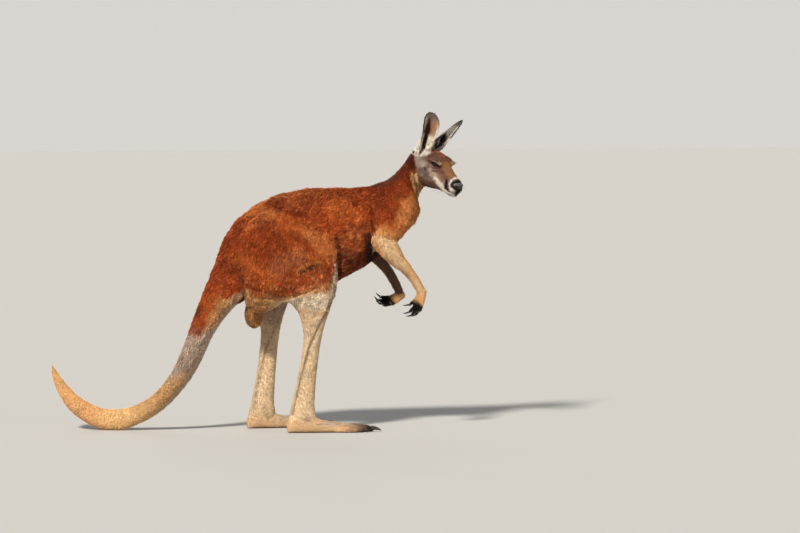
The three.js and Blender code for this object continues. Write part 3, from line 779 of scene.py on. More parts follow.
# How each ear stands, and its hollow: how far up it goes, as a share, and how wide it is.
earShapes = {
    "earRight": {"side": -1, "root": (-4, -33, -10), "lean": (-0.02, -0.11, 1), "open": (0.6, -0.8, 0),
                 "length": 155, "hollow": (0.95, 9), "middle": 3, "wall": "earTan", "slim": -0.18},
    # the far ear's white wall is painted light on its inner wall
    "earLeft": {"side": 1, "root": (-11, 33, -6), "lean": (0.02, 0.66, 0.75), "open": (0.95, -0.3, 0.25),
                "length": 155, "hollow": (0.58, 20), "middle": 16, "wall": "white", "slim": 0.5},
}

# Marks on the flanks: groups, colour, share, softness, and path as [x, z, half width].
rump = ("torso", "thigh", "tailBase")
front = ("neck", "torso")
flankMarks = [
    (rump, "deepRust", 0.6, 16, [(20, 835, 12), (71, 806, 22), (121, 774, 14)]),
    (rump, "deepRust", 0.5, 14, [(-19, 755, 12), (17, 709, 18), (56, 666, 12)]),
    (rump, "deepRust", 0.5, 14, [(80, 645, 10), (112, 619, 16), (145, 594, 8)]),
    (rump, "orange", 0.6, 20, [(70, 761, 14), (146, 725, 18)]),
    (rump, "orange", 0.6, 20, [(-92, 625, 16), (-20, 578, 20)]),
    (rump, "gold", 0.35, 26, [(150, 712, 8), (196, 690, 18), (240, 640, 14)]),
    # along the thigh fold: the gold line above it is a painted highlight, the maroon line in it painted shade
    (rump, "gold", 0.3, 7, [(102, 584, 3), (130, 596, 4), (158, 608, 4), (188, 614, 3)]),
    (rump, "maroon", 0.85, 5, [(108, 571, 1), (134, 580, 3), (155, 593, 3), (190, 600, 1)]),
    (rump, "beige", 0.2, 30, [(40, 600, 20), (120, 640, 10)]),
    (rump, "tan", 0.85, 14, [(-60, 512, 2), (-78, 490, 9), (-104, 466, 16), (-131, 442, 20)]),
    (rump, "ash", 0.4, 14, [(-64, 506, 1), (-80, 484, 6), (-106, 458, 10), (-131, 434, 12)]),
    # maroon in the gap between the tail base and the thigh: painted shade
    (rump, "maroon", 0.85, 6, [(-50, 500, 1), (-62, 480, 3), (-72, 456, 4)]),
    # maroon along the flank fold in front of the thigh: painted shade
    (("torso", "thigh"), "maroon", 0.8, 12, [(262, 690, 2), (268, 640, 6), (276, 560, 10)]),
    # broad maroon low on the flank: painted shade under the belly
    (("torso",), "maroon", 0.5, 40, [(290, 630, 10), (340, 612, 16), (400, 618, 14)]),
    (("torso",), "orange", 0.4, 20, [(250, 800, 20), (300, 786, 20), (340, 770, 10)]),
    # maroon in the crease behind the shoulder: painted shade
    (("torso",), "maroon", 0.6, 6, [(390, 797, 2), (392, 760, 4), (394, 721, 6)]),
    # maroon and soot in the armpit: painted shade
    (("torso", "upperArm"), "maroon", 0.95, 14, [(372, 700, 8), (390, 650, 18), (404, 604, 18)]),
    (("torso", "upperArm"), "soot", 0.8, 10, [(380, 676, 4), (392, 640, 10), (400, 612, 10)]),
    (("torso", "neck", "upperArm"), "gold", 0.7, 34, [(560, 838, 4), (536, 796, 22), (512, 744, 22),
                                                      (486, 712, 12)]),
    # maroon behind the cheek: partly the coat's own colour, partly painted shade
    (front, "maroon", 0.8, 16, [(536, 988, 8), (550, 955, 10), (548, 925, 6)]),
    (("neck",), "deepRust", 0.6, 16, [(512, 944, 8), (524, 908, 8), (532, 872, 5)]),
    (("neck",), "maroon", 0.6, 9, [(564, 990, 5), (570, 958, 7), (573, 932, 4)]),
    (front, "tan", 0.95, 4, [(546, 928, 5), (552, 902, 9), (560, 870, 12), (570, 838, 6)]),
    (front, "cream", 0.9, 3, [(561, 918, 3), (570, 890, 5), (580, 858, 5)]),
    # maroon lines in the neck folds: painted shade
    (front, "maroon", 0.8, 2.5, [(532, 922, 1), (538, 896, 1.5), (549, 862, 1), (562, 832, 1)]),
    (front, "maroon", 0.7, 2.5, [(553, 916, 0.5), (560, 892, 1), (571, 862, 1), (577, 840, 1.4)]),
    (front, "maroon", 0.8, 2.5, [(571, 910, 0.5), (580, 888, 1.4), (586, 866, 1.4)]),
    (front, "gold", 0.7, 5, [(580, 906, 2), (588, 884, 4), (594, 862, 4)]),
]

# Marks on each flank of the head, in its own frame: colour, share, softness, path as [ahead, up, half width].
faceMarks = [
    ("brow", 0.9, 10, [(-30, -14, 6), (8, -4, 12), (40, -2, 17), (72, -6, 15), (96, -18, 8)]),
    ("orange", 0.55, 4, [(-20, 4, 2), (26, 14, 3), (60, 13, 3), (84, 2, 2)]),
    ("smoke", 0.5, 6, [(36, 2, 2), (52, -4, 5), (68, -4, 5), (82, -9, 3)]),
    ("redBrown", 0.8, 9, [(92, -26, 5), (104, -36, 8), (120, -46, 9), (134, -52, 5)]),
    ("ochre", 0.9, 9, [(98, -9, 4), (112, -16, 6), (128, -25, 7), (146, -34, 6), (154, -38, 3)]),
    ("pink", 0.3, 8, [(98, -48, 4), (116, -58, 5), (130, -64, 4)]),
    ("ash", 0.55, 14, [(-6, -40, 4), (18, -46, 8), (40, -42, 4)]),
    # redBrown along the jaw: painted shade on its underside
    ("redBrown", 0.75, 16, [(24, -100, 6), (56, -104, 8), (88, -100, 8)]),
    ("ash", 0.5, 12, [(70, -46, 1), (82, -54, 3), (96, -63, 5), (108, -70, 6)]),
    ("white", 0.8, 8, [(98, -65, 0.5), (110, -72, 3), (128, -82, 6), (140, -88, 8), (150, -94, 10)]),
    ("white", 0.95, 4, [(148, -94, 7), (160, -98, 9), (176, -97, 10)]),
    ("white", 0.85, 4, [(164, -62, 2), (170, -70, 5), (178, -77, 5)]),
    ("white", 0.95, 2.5, [(158, -37, 2), (157, -48, 2.5), (161, -60, 3)]),
    ("black", 0.97, 2.4, [(139, -50, 0.5), (142, -58, 5), (146, -67, 8), (151, -77, 7), (162, -80, 3)]),
    ("black", 0.95, 1.2, [(140, -72, 1.5), (151, -82, 1.6), (160, -86, 1.6), (170, -85, 1.6),
                          (182, -80, 1.6)]),
    ("soot", 0.9, 2.5, [(48, -47, 3), (51, -50, 2.5)]),
    # brow and smoke along the underside of the jaw: painted shade
    ("brow", 0.5, 14, [(20, -96, 6), (56, -104, 8), (92, -98, 6)]),
    ("smoke", 0.8, 10, [(20, -104, 6), (52, -115, 8), (84, -112, 7), (112, -105, 4)]),
]
# Marks round the eye, in its own frame: colour, share, softness, path as [towards the nose, up, half width].
eyeMarks = [
    ("pink", 0.5, 5, [(-12, -12, 2), (2, -14, 3), (14, -12, 2)]),
    ("ash", 0.35, 2, [(-14, 5.5, 0.8), (-3, 8.6, 0.8), (8, 8, 0.8), (15, 4, 0.8)]),
    ("ash", 0.5, 2.5, [(12, 9.5, 0.6), (18, 9, 1.2), (24, 6, 0.6)]),
    ("soot", 0.6, 2, [(-17, 3, 0.4), (-12, 9.5, 0.6), (-3, 12.5, 0.6), (7, 11.5, 0.6), (14, 7, 0.4)]),
    ("brow", 0.6, 2.4, [(-12, -17, 0.4), (-2, -19, 0.6), (10, -17, 0.4)]),
    ("soot", 0.85, 3, [(0, -27, 1), (8, -27, 1.6), (17, -22, 1.2)]),
    ("black", 0.95, 1.2, [(11, -0.5, 3.2), (18, -1.4, 2.2), (28, -3.8, 0.8)]),
    ("black", 0.95, 1.2, [(-11, 0, 3.2), (-18, 0.8, 2.2), (-28, 0.6, 0.6)]),
]


class Paint:
    # a colour at each place, laid on one thin coat after another
    def __init__(self, name, places):
        self.values = np.tile(tones[name], (len(places), 1))

    def lay(self, name, share):
        # name is a tone's, or stands for another paint
        share = np.reshape(np.clip(share, 0, 1), (-1, 1))
        over = name.values if isinstance(name, Paint) else tones[name]
        self.values = self.values * (1 - share) + over * share
        return self

    def draw(self, marks, flat, rough, on=1.0):
        for name, share, soft, path in marks:
            self.lay(name, share * ramp(soft, 0, distanceTo(path, flat) + rough) * on)
        return self


def mottle(places):
    # clumps of hair, wider than they are tall, from -1 to 1
    stretched = places * (0.7, 1, 1.25)
    large = patches(stretched, 21, 70)
    middling = patches(stretched, 10, 71)
    small = patches(stretched, 5.5, 72)
    return 0.5 * large + 0.6 * middling + 0.35 * small


def alongTail(places):
    # length along the tail from its root, how far towards its upper side, and the way it runs
    line = np.array(tailLine, float)
    best = np.full(len(places), np.inf)
    length = np.zeros(len(places))
    above = np.zeros(len(places))
    way = np.zeros((len(places), 3))
    start = 0.0
    for first, second in zip(line[:-1], line[1:]):
        run = second - first
        span = np.linalg.norm(run)
        share = np.clip((places - first) @ run / span**2, 0, 1)
        gap = places - first - share[:, None] * run
        size = np.linalg.norm(gap, axis=1)
        closer = size < best
        best[closer] = size[closer]
        length[closer] = start + share[closer] * span
        upper = unit(np.array([run[2], 0, -run[0]]))
        above[closer] = (gap @ upper)[closer]
        way[closer] = run / span
        start += span
    return length, above, way


def earAxes(shape):
    # along an ear, across it towards its inner edge, and out of its cup
    lean = unit(np.array(shape["lean"]))
    mouth = np.array(shape["open"], float)
    mouth = unit(mouth - lean * (mouth @ lean))
    return lean, np.cross(lean, mouth) * -shape["side"], mouth


def earPlace(shape, local, normals):
    # share of the ear's length, across it towards its inner edge, and how much a normal faces into the cup
    lean, across, mouth = earAxes(shape)
    offset = local - np.array(shape["root"])
    return offset @ lean / shape["length"], offset @ across, normals @ headAxes.T @ mouth


def slimEar(name, shape):
    # draws an ear in towards its middle line, most at its tip, or widens it where slim is below 0
    onEar = within(skinGroup, name)
    share, across, _ = earPlace(shape, inHead(surface.points), skinNormals)
    steps = np.linspace(0, 1, 17)
    strips = [across[onEar & (abs(share - step) < 0.05)] for step in steps]
    middle = np.interp(share, steps, [(strip.max() + strip.min()) / 2 for strip in strips])
    inwards = (middle - across) * shape["slim"] * ramp(0.2, 0.95, share) * onEar
    surface.points += inwards[:, None] * mm * (earAxes(shape)[1] @ headAxes)
    surface.write()


for earName, earShape in earShapes.items():
    slimEar(earName, earShape)
skinNormals = surface.normals()


def bodyTones(places, normals, name, back=0.0):
    x, y, z = places.T
    flat = np.stack([x + back, z], 1)
    rough = 7 * patches(places, 16, 20) + 3 * patches(places, 7, 21)
    colour = Paint("rust", places)
    colour.lay("deepRust", 0.22 + 0.5 * patches(places, 60, 1) + 0.25 * patches(places, 24, 61))
    colour.lay("orange", 0.7 * ramp(-0.1, 0.8, patches(places, 90, 2)))
    # painted shade: deeper rust on the downward-facing places under the belly and chest
    colour.lay("deepRust", 0.75 * ramp(-0.25, -0.85, normals[:, 2]) * ramp(560, 420, x))
    colour.lay("deepRust", 0.5 * ramp(0.3, 0.9, normals[:, 2]) * ramp(60, 200, x))
    # painted highlight: gold on the upward-facing places of the back and rump, as if lit from above
    paintedHighlight = ramp(0.4, 1.1, normals[:, 2] + 0.35 * patches(places, 34, 79)) * ramp(270, 30, x + 4 * rough)
    colour.lay("gold", 0.4 * paintedHighlight * ramp(500, 620, z))
    curly = ramp(230, 270, x) * ramp(400, 370, x) * ramp(770, 700, z) * ramp(0.2, 0.6, abs(normals[:, 1]))
    colour.lay("tip", 0.45 * curly * ramp(-0.4, 0.7, patches(places * (0.7, 1, 1.3), 12, 22)))
    colour.lay("maroon", 0.5 * curly * ramp(0.1, 0.9, patches(places * (0.7, 1, 1.3), 13, 23)))
    # a darker nape, maroon and smoke: partly the coat's own colour, partly painted shade behind the head
    nape = distanceTo(napeLine, places) + rough
    colour.lay("maroon", 0.75 * ramp(74, 20, nape))
    colour.lay("smoke", 0.25 * ramp(56, 10, nape))
    colour.lay("gold", 0.75 * ramp(62, 20, distanceTo(throatLine, places)))
    chosen = [mark[1:] for mark in flankMarks if kinds[name] in mark[0]]
    return colour.draw(chosen, flat, rough, ramp(0.05, 0.4, abs(normals[:, 1])))


def tailTones(places, normals, name):
    length, above, _ = alongTail(places)
    level = above / (26 + 0.09 * np.clip(420 - length, 0, 420))
    colour = bodyTones(places, normals, "tailBase")
    length = length - 54  # the marks are measured from this far down the tail
    wobble = 16 * patches(places, 30, 4) + 9 * patches(places, 11, 78)
    colour.lay("tan", 0.9 * ramp(0.4, -0.2, level + 0.12 * patches(places, 18, 38)) * ramp(-50, 20, length))
    colour.lay("lilac", ramp(132, 180, length + wobble - 20 * level))
    tongue = ramp(120, 138, length) * ramp(206, 162, length + wobble)
    colour.lay("rust", 0.85 * tongue * ramp(-0.1, 0.3, level))
    colour.lay("soot", 0.55 * ramp(0.4, 0.9, level) * ramp(70, 96, length) * ramp(136, 112, length))
    greyPart = ramp(180, 220, length) * ramp(350, 300, length)
    colour.lay("smoke", 0.4 * ramp(0.2, 0.8, patches(places, 22, 5)) * greyPart)
    colour.lay("buff", ramp(290, 370, length + wobble - 30 * level))
    colour.lay("sand", ramp(440, 600, length + wobble - 40 * level))
    colour.lay("tan", 0.6 * ramp(640, 740, length))
    colour.lay("smoke", 0.3 * ramp(0.3, 0.9, patches(places, 14, 24)) * ramp(300, 400, length))
    pale = ramp(-0.35, -0.8, level) * ramp(-20, 30, length) * ramp(560, 420, length)
    colour.lay("ash", 0.85 * pale)
    # painted shade: a dark line along the lower side of the tail, where the fur shadows it
    paintedShadeLine = bell(level + 0.35 + 0.12 * patches(places, 12, 25), 0.09)
    paintedShadeLine = paintedShadeLine * ramp(0, 60, length) * (0.3 + 0.7 * ramp(330, 280, length)) * ramp(560, 460, length)
    return colour.lay("smoke", 0.45 * paintedShadeLine)


def thighTones(places, normals, name):
    x, y, z = places.T
    back = -legShift(sideOf(name), z) / mm
    colour = bodyTones(places, normals, name, back)
    x = x + back
    edge = np.interp(x, *np.array(thighEdge, float).T)
    drop = edge - z + 8 + 6 * patches(places, 24, 6) + 3 * patches(places, 9, 26)
    speckle = ramp(0.15, 0.6, patches(places, 7, 27)) * ramp(-130, -10, drop)
    colour.lay("tan", 0.6 * speckle)
    colour.lay("orange", 0.35 * ramp(-30, 0, drop))
    # maroon along the crease under the thigh's rust: painted shade
    colour.lay("maroon", 0.5 * bell(drop, 4) * ramp(-60, -10, x) * ramp(130, 90, x))
    fade = 6 + 26 * ramp(90, 170, x)
    colour.lay("tan", 0.9 * ramp(-fade, 8, drop))
    colour.lay("cream", 0.85 * ramp(2, 12 + fade, drop))
    colour.lay("ochre", 0.15 * ramp(24, 60, drop) * ramp(0.1, 0.8, patches(places, 26, 28)))
    seat = ramp(50, 0, x + 8 * patches(places, 12, 74)) * ramp(-10, 6, drop)
    # white below the thigh's edge: partly the pale coat, partly painted highlight
    colour.lay("white", 0.5 * ramp(40, 90, x) * ramp(6, 20, drop))
    ripple = ramp(0.1, 0.9, np.sin(0.62 * z + 0.3 * x + 2.2 * patches(places, 20, 75)))
    colour.lay("scrotum", 0.9 * seat)
    # maroon ripples on the seat: painted shade of small folds
    colour.lay("maroon", 0.4 * seat * ripple)
    rim = distanceTo(shinLine, np.stack([x, z], 1))
    colour.lay("ash", 0.85 * ramp(10, 2, rim + 6 * patches(places, 9, 29)))
    colour.lay("smoke", 0.5 * ramp(0.2, 0.6, patches(places, 6, 30)) * ramp(12, 2, rim))
    # painted shade: tan and brow on the upper inner thigh, where the body shades it
    inner = ramp(96, 60, abs(y)) * ramp(620, 540, z)
    colour.lay("tan", 0.8 * inner)
    return colour.lay("brow", 0.65 * inner)


def shankTones(places, normals, name):
    side = sideOf(name)
    x, _, z = places.T
    x = x - legShift(side, z) / mm
    colour = Paint("cream", places)
    colour.lay("tan", 0.4 * ramp(330, 470, z))
    # painted shade: brow on the upper inner shank, where the body shades it
    colour.lay("brow", 0.5 * ramp(330, 420, z) * ramp(-0.1, -0.7, normals[:, 1] * side))
    # painted shade: smoke in the groove down the shank
    groove = distanceTo(bodyFolds["shankGroove"][-1], np.stack([x, z], 1)) + 2 * patches(places, 12, 31)
    colour.lay("smoke", 0.6 * ramp(7, 2, groove) * ramp(0.2, 0.6, abs(normals[:, 1])))
    colour.lay("ash", 0.3 + 0.4 * ramp(0.1, 0.7, patches(places, 30, 7)))
    colour.lay("ochre", 0.2 * ramp(0.2, 0.8, patches(places * (1, 1, 0.4), 14, 32)))
    return colour.lay("ochre", 0.35 * ramp(0.2, 0.8, patches(places, 20, 8)) * ramp(150, 40, z))


def footTones(places, normals, name):
    heel = inBody(np.array(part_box(flesh[name][0])[0]))
    ahead = places[:, 0] - heel[0] + 10 * patches(places, 16, 33)
    colour = Paint("cream", places)
    colour.lay("tan", 0.35 + 0.35 * ramp(0, 0.8, patches(places, 24, 9)))
    colour.lay("smoke", 0.2)
    colour.lay("lilac", 0.8 * ramp(90, 150, ahead) * ramp(16, 30, places[:, 2]))
    colour.lay("smoke", 0.85 * ramp(200, 270, ahead))
    colour.lay("soot", 0.8 * ramp(262, 296, ahead))
    return colour.lay("smoke", 0.8 * ramp(-0.6, -0.9, normals[:, 2]))


def armTones(places, normals, name):
    x, _, z = places.T
    colour = bodyTones(places, normals, name)
    rough = 8 * patches(places, 22, 10) + 4 * patches(places, 9, 34)
    edge = 702 - 0.35 * (x - 440)
    colour.lay("orange", 0.4 * ramp(edge + 90, edge + 20, z))
    colour.lay("gold", 0.8 * ramp(edge + 46, edge + 4, z + rough))
    pale = ramp(edge + 26, edge - 16, z + 1.4 * rough)
    colour.lay("tan", pale)
    if kinds[name] == "forearm":
        out = normals[:, 1] * sideOf(name)
        # painted shade: smoke and maroon on the inner side of the forearm
        shade = ramp(0.1, -0.5, out) * ramp(720, 650, z)
        colour.lay("cream", 0.75 * ramp(-0.3, 0.4, out) * pale * ramp(540, 600, z))
        colour.lay("smoke", 0.4 * ramp(0.15, 0.6, patches(places, 8, 35)) * ramp(600, 640, z))
        colour.lay("cream", 0.8 * ramp(580, 530, z))
        colour.lay("gold", 0.6 * ramp(0.3, 0.8, abs(normals[:, 0])) * pale)
        colour.lay("smoke", 0.9 * shade)
        colour.lay("maroon", 0.35 * shade)
    return colour


def handClaws(name):
    # the middles of a hand's claws
    which = "right" if sideOf(name) < 0 else "left"
    return np.array([centreOf(f"claw_hand_{digit}_{which}") for digit in digits])


def handTones(places, normals, name):
    palm = inBody(np.array(centreOf(flesh[name][0])))
    tips = inBody(handClaws(name)).mean(0)
    ahead = (places - palm) @ unit(tips - palm) + 5 * patches(places, 9, 12)
    colour = Paint("sand", places)
    colour.lay("gold", 0.3 * ramp(-40, -24, ahead))
    return colour.lay("soot", ramp(-8, 6, ahead))


def headTones(places, normals, name="head"):
    local = inHead(home + places * mm)
    x, y, z = local.T
    rough = 2.6 * patches(places, 9, 13) + 1.4 * patches(places, 4, 36)
    flat = np.stack([x, z], 1)
    colour = Paint("cheek", places)
    colour.lay("smoke", 0.65 * ramp(0.0, 0.7, patches(places, 6, 14)))
    colour.lay("ash", 0.5 * ramp(0.0, 0.9, patches(places, 11, 15)))
    # painted shade: brow under the jaw
    colour.lay("brow", 0.8 * ramp(-92, -112, z) * ramp(132, 108, x))
    # maroon at the back of the head: partly the coat's own colour, partly painted shade where head meets neck
    colour.lay("maroon", 0.6 * ramp(-8, -34, x))
    colour.draw(faceMarks, flat, rough)
    forehead = distanceTo([(0, -6), (40, -4), (72, -8)], flat)
    dapple = 0.6 * patches(places, 7, 76) + 0.6 * patches(places, 4, 77)
    colour.lay("maroon", 0.55 * ramp(26, 12, forehead) * ramp(0.0, 0.7, dapple))
    colour.lay("pink", 0.3 * ramp(26, 12, forehead) * ramp(-0.2, -0.8, dapple))
    # black on the nose leather and down the front of the muzzle: black skin, partly painted shadow of the
    # mouth
    muzzle = distanceTo([(189, 0, -60, 8), (190, 0, -76, 11), (187, 0, -87, 9)], local)
    leather = (np.linalg.norm((local - (174, 0, -58)) / (19.5, 27.5, 17.5), axis=1) - 1) * 20
    colour.lay("black", 0.97 * ramp(3, 0, np.minimum(muzzle, leather) + 0.6 * rough))
    for ear in earShapes.values():
        root = np.array(ear["root"], float)
        gap = distanceTo([root + (10, 0, 6), root + (-4, 0, -2), root + (-16, 0, -6)], local)
        colour.lay("ash", 0.7 * ramp(46, 24, gap + 2 * rough) * ramp(22, 2, x))
        colour.lay("white", 0.95 * ramp(29, 17, gap + 1.5 * rough))
    for side in sides.values():
        centre, axes = eyeFrame(side)
        across, height, out = ((local - centre) @ axes.T).T
        near = (out > 0) & (np.hypot(across, height) < 36)
        colour.draw(eyeMarks, np.stack([across, height], 1), 0.25 * rough, near)
        colour.lay("black", 0.95 * ramp(-3.4, -1.6, slitMargin(across, height)) * near)
    return colour


def earTones(places, normals, name):
    shape = earShapes[name]
    farEar = shape["side"] > 0
    local = inHead(home + places * mm)
    share, across, facing = earPlace(shape, local, normals)
    cells = 24  # along the ear, for where its two edges lie
    cell = np.clip((share * cells).astype(int), 0, cells + 1)
    strips = [across[cell == step] if (cell == step).any() else np.zeros(1) for step in range(cells + 2)]
    middles = np.arange(cells + 2) + 0.5
    inner = np.interp(share * cells, middles, [strip.max() for strip in strips]) - across
    rim = np.minimum(inner, across - np.interp(share * cells, middles, [strip.min() for strip in strips]))
    rough = 2.0 * patches(places, 8, 16) + patches(places, 3.5, 37)
    inside = ramp(0.0, 0.3, facing)
    outer = Paint("earGrey", places)
    outer.lay("ash", 0.5 * ramp(0, 0.8, patches(places, 10, 17)))
    outer.lay("brow", 0.5 * ramp(0.3, 0.1, share))
    top, wide = shape["hollow"]
    cup = Paint("earGrey", places)
    cup.lay("earShade", 0.6 * ramp(0.6, 0.9, share + 0.02 * rough))
    cup.lay("ash", 0.6 * ramp(-5, -12, across + rough) * ramp(0.95, 0.8, share))
    # the far ear's white wall is painted light on its inner wall; the near ear's tan wall is its own colour
    low = -30 if farEar else 6
    cup.lay(shape["wall"], 0.9 * ramp(low, low + 6, across + rough) * ramp(0.92, 0.7, share))
    cup.lay("ash", 0.8 * ramp(11, 4, inner + 0.6 * rough) * ramp(0.9, 0.7, share))
    # a dark channel down the cup, deepest at its base: the ear's dark inner fur, with painted shade of the
    # hollow
    channel = abs(across - shape["middle"] + 8 * share + rough)
    channel = channel - wide * ramp(-0.1, 0.2, share) * ramp(top, 0.45 * top, share)
    below = ramp(top, 0.8 * top, share)
    cup.lay("redBrown", 0.85 * ramp(8, 0, channel) * below * (not farEar))
    cup.lay("earDark", 0.97 * ramp(4, -2, channel) * below)
    cup.lay("white", 0.9 * ramp(6, 3, inner) * ramp(0.8, 0.5, share))
    if not farEar:
        cup.lay("white", 0.9 * ramp(-5, -11, across + rough) * ramp(0.46, 0.34, share))
        cup.lay("white", 0.9 * ramp(6, 10, across + rough) * ramp(0.43, 0.32, share))
    colour = outer.lay(cup, inside)
    edge = np.maximum(ramp(3.6, 2.0, rim), ramp(0.965, 0.985, share)) * ramp(0.42, 0.55, share)
    colour.lay("black", 0.95 * edge * np.where(across > 0, ramp(0.62, 0.78, share), 1))
    colour.lay("white", 0.95 * ramp(0.3, 0.14, share + 0.03 * rough) * (1 - inside))
    if farEar:
        # painted shadow of the near ear, black on the back of the far ear
        nearEarShadow = np.hypot((share - 0.23) / 0.25, (across - 4) / 19) + 0.05 * rough
        colour.lay("black", 0.97 * ramp(1.12, 0.94, nearEarShadow) * ramp(-0.3, 0, facing))
    return colour


def scrotumTones(places, normals, name):
    colour = Paint("scrotum", places)
    ripple = np.sin(0.9 * places[:, 2] + 2.4 * patches(places, 12, 39))
    colour.lay("brow", 0.6 * ramp(0.2, 0.9, ripple))
    return colour.lay("maroon", 0.5 * ramp(3, 1, abs(places[:, 1])))


painters = {
    "torso": bodyTones, "neck": bodyTones, "thigh": thighTones, "shank": shankTones, "foot": footTones,
    "upperArm": armTones, "forearm": armTones, "hand": handTones, "scrotum": scrotumTones,
    "tailBase": tailTones, "tailMiddle": tailTones, "tailEnd": tailTones, "tailTip": tailTones,
    "head": headTones, "orb": headTones, "nosePad": headTones, "ear": earTones,
}
headShare = surface.spread(within(skinGroup, *headNames).astype(float), 12)


def markings(points, normals, number, onHead):
    # the coat's colour at each point of the skin, where head and neck fade into each other
    places = inBody(points)
    colour = np.zeros((len(points), 3))
    for index, name in enumerate(groups):
        chosen = number == index
        if chosen.any():
            colour[chosen] = painters[kinds[name]](places[chosen], normals[chosen], name).values
    border = (onHead > 0.12) & (onHead < 0.88) & within(number, *headNames, "neck")
    here, out = places[border], normals[border]
    share = ramp(0.2, 0.8, onHead[border] + 0.14 * patches(here, 6, 73))
    colour[border] = bodyTones(here, out, "neck").lay(headTones(here, out), share).values
    return colour


skinColour = surface.spread(markings(surface.points, skinNormals, skinGroup, headShare), 1)


def storeColour(mesh, colour):
    layer = mesh.color_attributes.new("coat", "FLOAT_COLOR", "POINT")
    layer.data.foreach_set("color", np.c_[colour, np.ones(len(colour))].astype(np.float32).ravel())


storeColour(skin.data, skinColour)
print("markings laid on the skin")

# Which group's middle the hair of each group runs to.
runsTo = {
    "nosePad": "neck", "head": "neck", "orb": "neck", "neck": "torso", "torso": "tailBase",
    "thighRight": "shankRight", "thighLeft": "shankLeft", "shankRight": "footRight", "shankLeft": "footLeft",
    "upperArmRight": "forearmRight", "upperArmLeft": "forearmLeft", "forearmRight": "handRight",
    "forearmLeft": "handLeft",
}


def lieOfGroups():
    # which way the coat runs on each group of flesh
    places = {name: np.array(centreOf(nodes[0])) for name, nodes in flesh.items()}
    lie = {name: places[end] - places[name] for name, end in runsTo.items()}
    for name in headNames:
        lie[name] = -np.array(headForward) - 0.25 * np.array(headUp)
    for name, shape in earShapes.items():
        lie[name] = np.array(shape["lean"]) @ headAxes
    for side in ("Right", "Left"):
        lie["hand" + side] = handClaws("hand" + side).mean(0) - places["hand" + side]
        lie["foot" + side] = np.array([1.0, 0, -0.1])
        lie["thigh" + side] = unit(lie["thigh" + side]) + np.array([-0.5, 0, 0])
    for name in groups:
        if name.startswith("tail"):
            lie[name] = alongTail(inBody(places[name])[None])[2][0]
    lie["torso"] = unit(lie["torso"]) + np.array([-0.3, 0, -0.1])
    lie["scrotum"] = np.array([0, 0, -1.0])
    return unit(np.array([unit(lie[name]) for name in groups]))


skinLie = lieOfGroups()[skinGroup]
onTail = np.array([name.startswith("tail") for name in groups])[skinGroup]
skinLie[onTail] = alongTail(inBody(surface.points[onTail]))[2]
skinLie = surface.spread(skinLie, 24)
print("lie of the coat worked out")

coatSettings = {
    "most": 19600,  # tufts in one piece
    "sink": 0.9,  # mm under the skin
    "thick": 0.34,  # of its width
    "patch": 0.0015,  # half of a tuft's place on the bake map
    "rootShade": 0.5,
    "middleShade": 0.92,
    "tipShade": 1.12,
    "pale": 0.22,  # how much of the pale hair tip shows where the coat is patchy
    "clump": 13,  # tufts that lean together
    "gather": 0.32,
    "stray": 0.15,
    "floor": 0.3,  # mm, the lowest that a tuft reaches
}
# The pieces of the coat: the slot and the groups of each.
coats = {
    "coatFront": ("russet_coat", ["torso"]),
    "coatNeck": ("russet_coat", ["neck"]),
    "coatThighRight": ("russet_coat", ["thighRight"]),
    "coatThighLeft": ("russet_coat", ["thighLeft"]),
    "coatTail": ("sandy_coat", ["tailBase", "tailMiddle", "tailEnd", "tailTip"]),
    "coatLegRight": ("fawn_coat", ["shankRight", "footRight"]),
    "coatLegLeft": ("fawn_coat", ["shankLeft", "footLeft"]),
    "coatArmRight": ("fawn_coat", ["upperArmRight", "forearmRight", "handRight"]),
    "coatArmLeft": ("fawn_coat", ["upperArmLeft", "forearmLeft", "handLeft"]),
    "coatHead": ("face_coat", ["head", "orb"]),
    "coatEars": ("ear_coat", ["earRight", "earLeft"]),
    "coatScrotum": ("scrotum_coat", ["scrotum"]),
}
skinFaces = Surface.read(skin.data.polygons, "vertices", 3, np.int32)
fieldOf = {key: surface.spread(perGroup(key)[skinGroup], 8) for key in ("length", "width", "lift", "patchy")}


def growth():
    # how much longer than its group's the hair grows at each point of the skin
    local = inHead(surface.points)
    more = np.ones(len(local))
    for name, shape in earShapes.items():
        share, across, facing = earPlace(shape, local, skinNormals)
        onEar = within(skinGroup, name)
        edges = ramp(10, 16, abs(across)) * (shape["side"] < 0)
        more += onEar * 2.2 * ramp(0.34, 0.06, share) * np.maximum(ramp(0.3, -0.2, facing), edges)
        more += onEar * 0.8 * ramp(0.7, 0.3, share) * ramp(0.2, 0.6, facing)
        gap = np.linalg.norm(local - np.array(shape["root"]) - (0, 0, -10), axis=1)
        more += within(skinGroup, "head") * 1.4 * ramp(40, 22, gap)
    places = inBody(surface.points)
    more += 0.5 * ramp(40, 10, distanceTo([(580, -8, 838), (560, 0, 780), (520, 0, 700)], places))
    more += within(skinGroup, "handRight", "handLeft") * 0.8
    ahead = places[:, 0] + (places[:, 1] > 0) * setBack / mm - heelCorner[0]
    more += within(skinGroup, "footRight", "footLeft") * 0.5 * ramp(200, 280, ahead)
    return surface.spread(more, 3)


fieldOf["length"] *= growth()
fieldOf["mottle"] = mottle(inBody(surface.points))


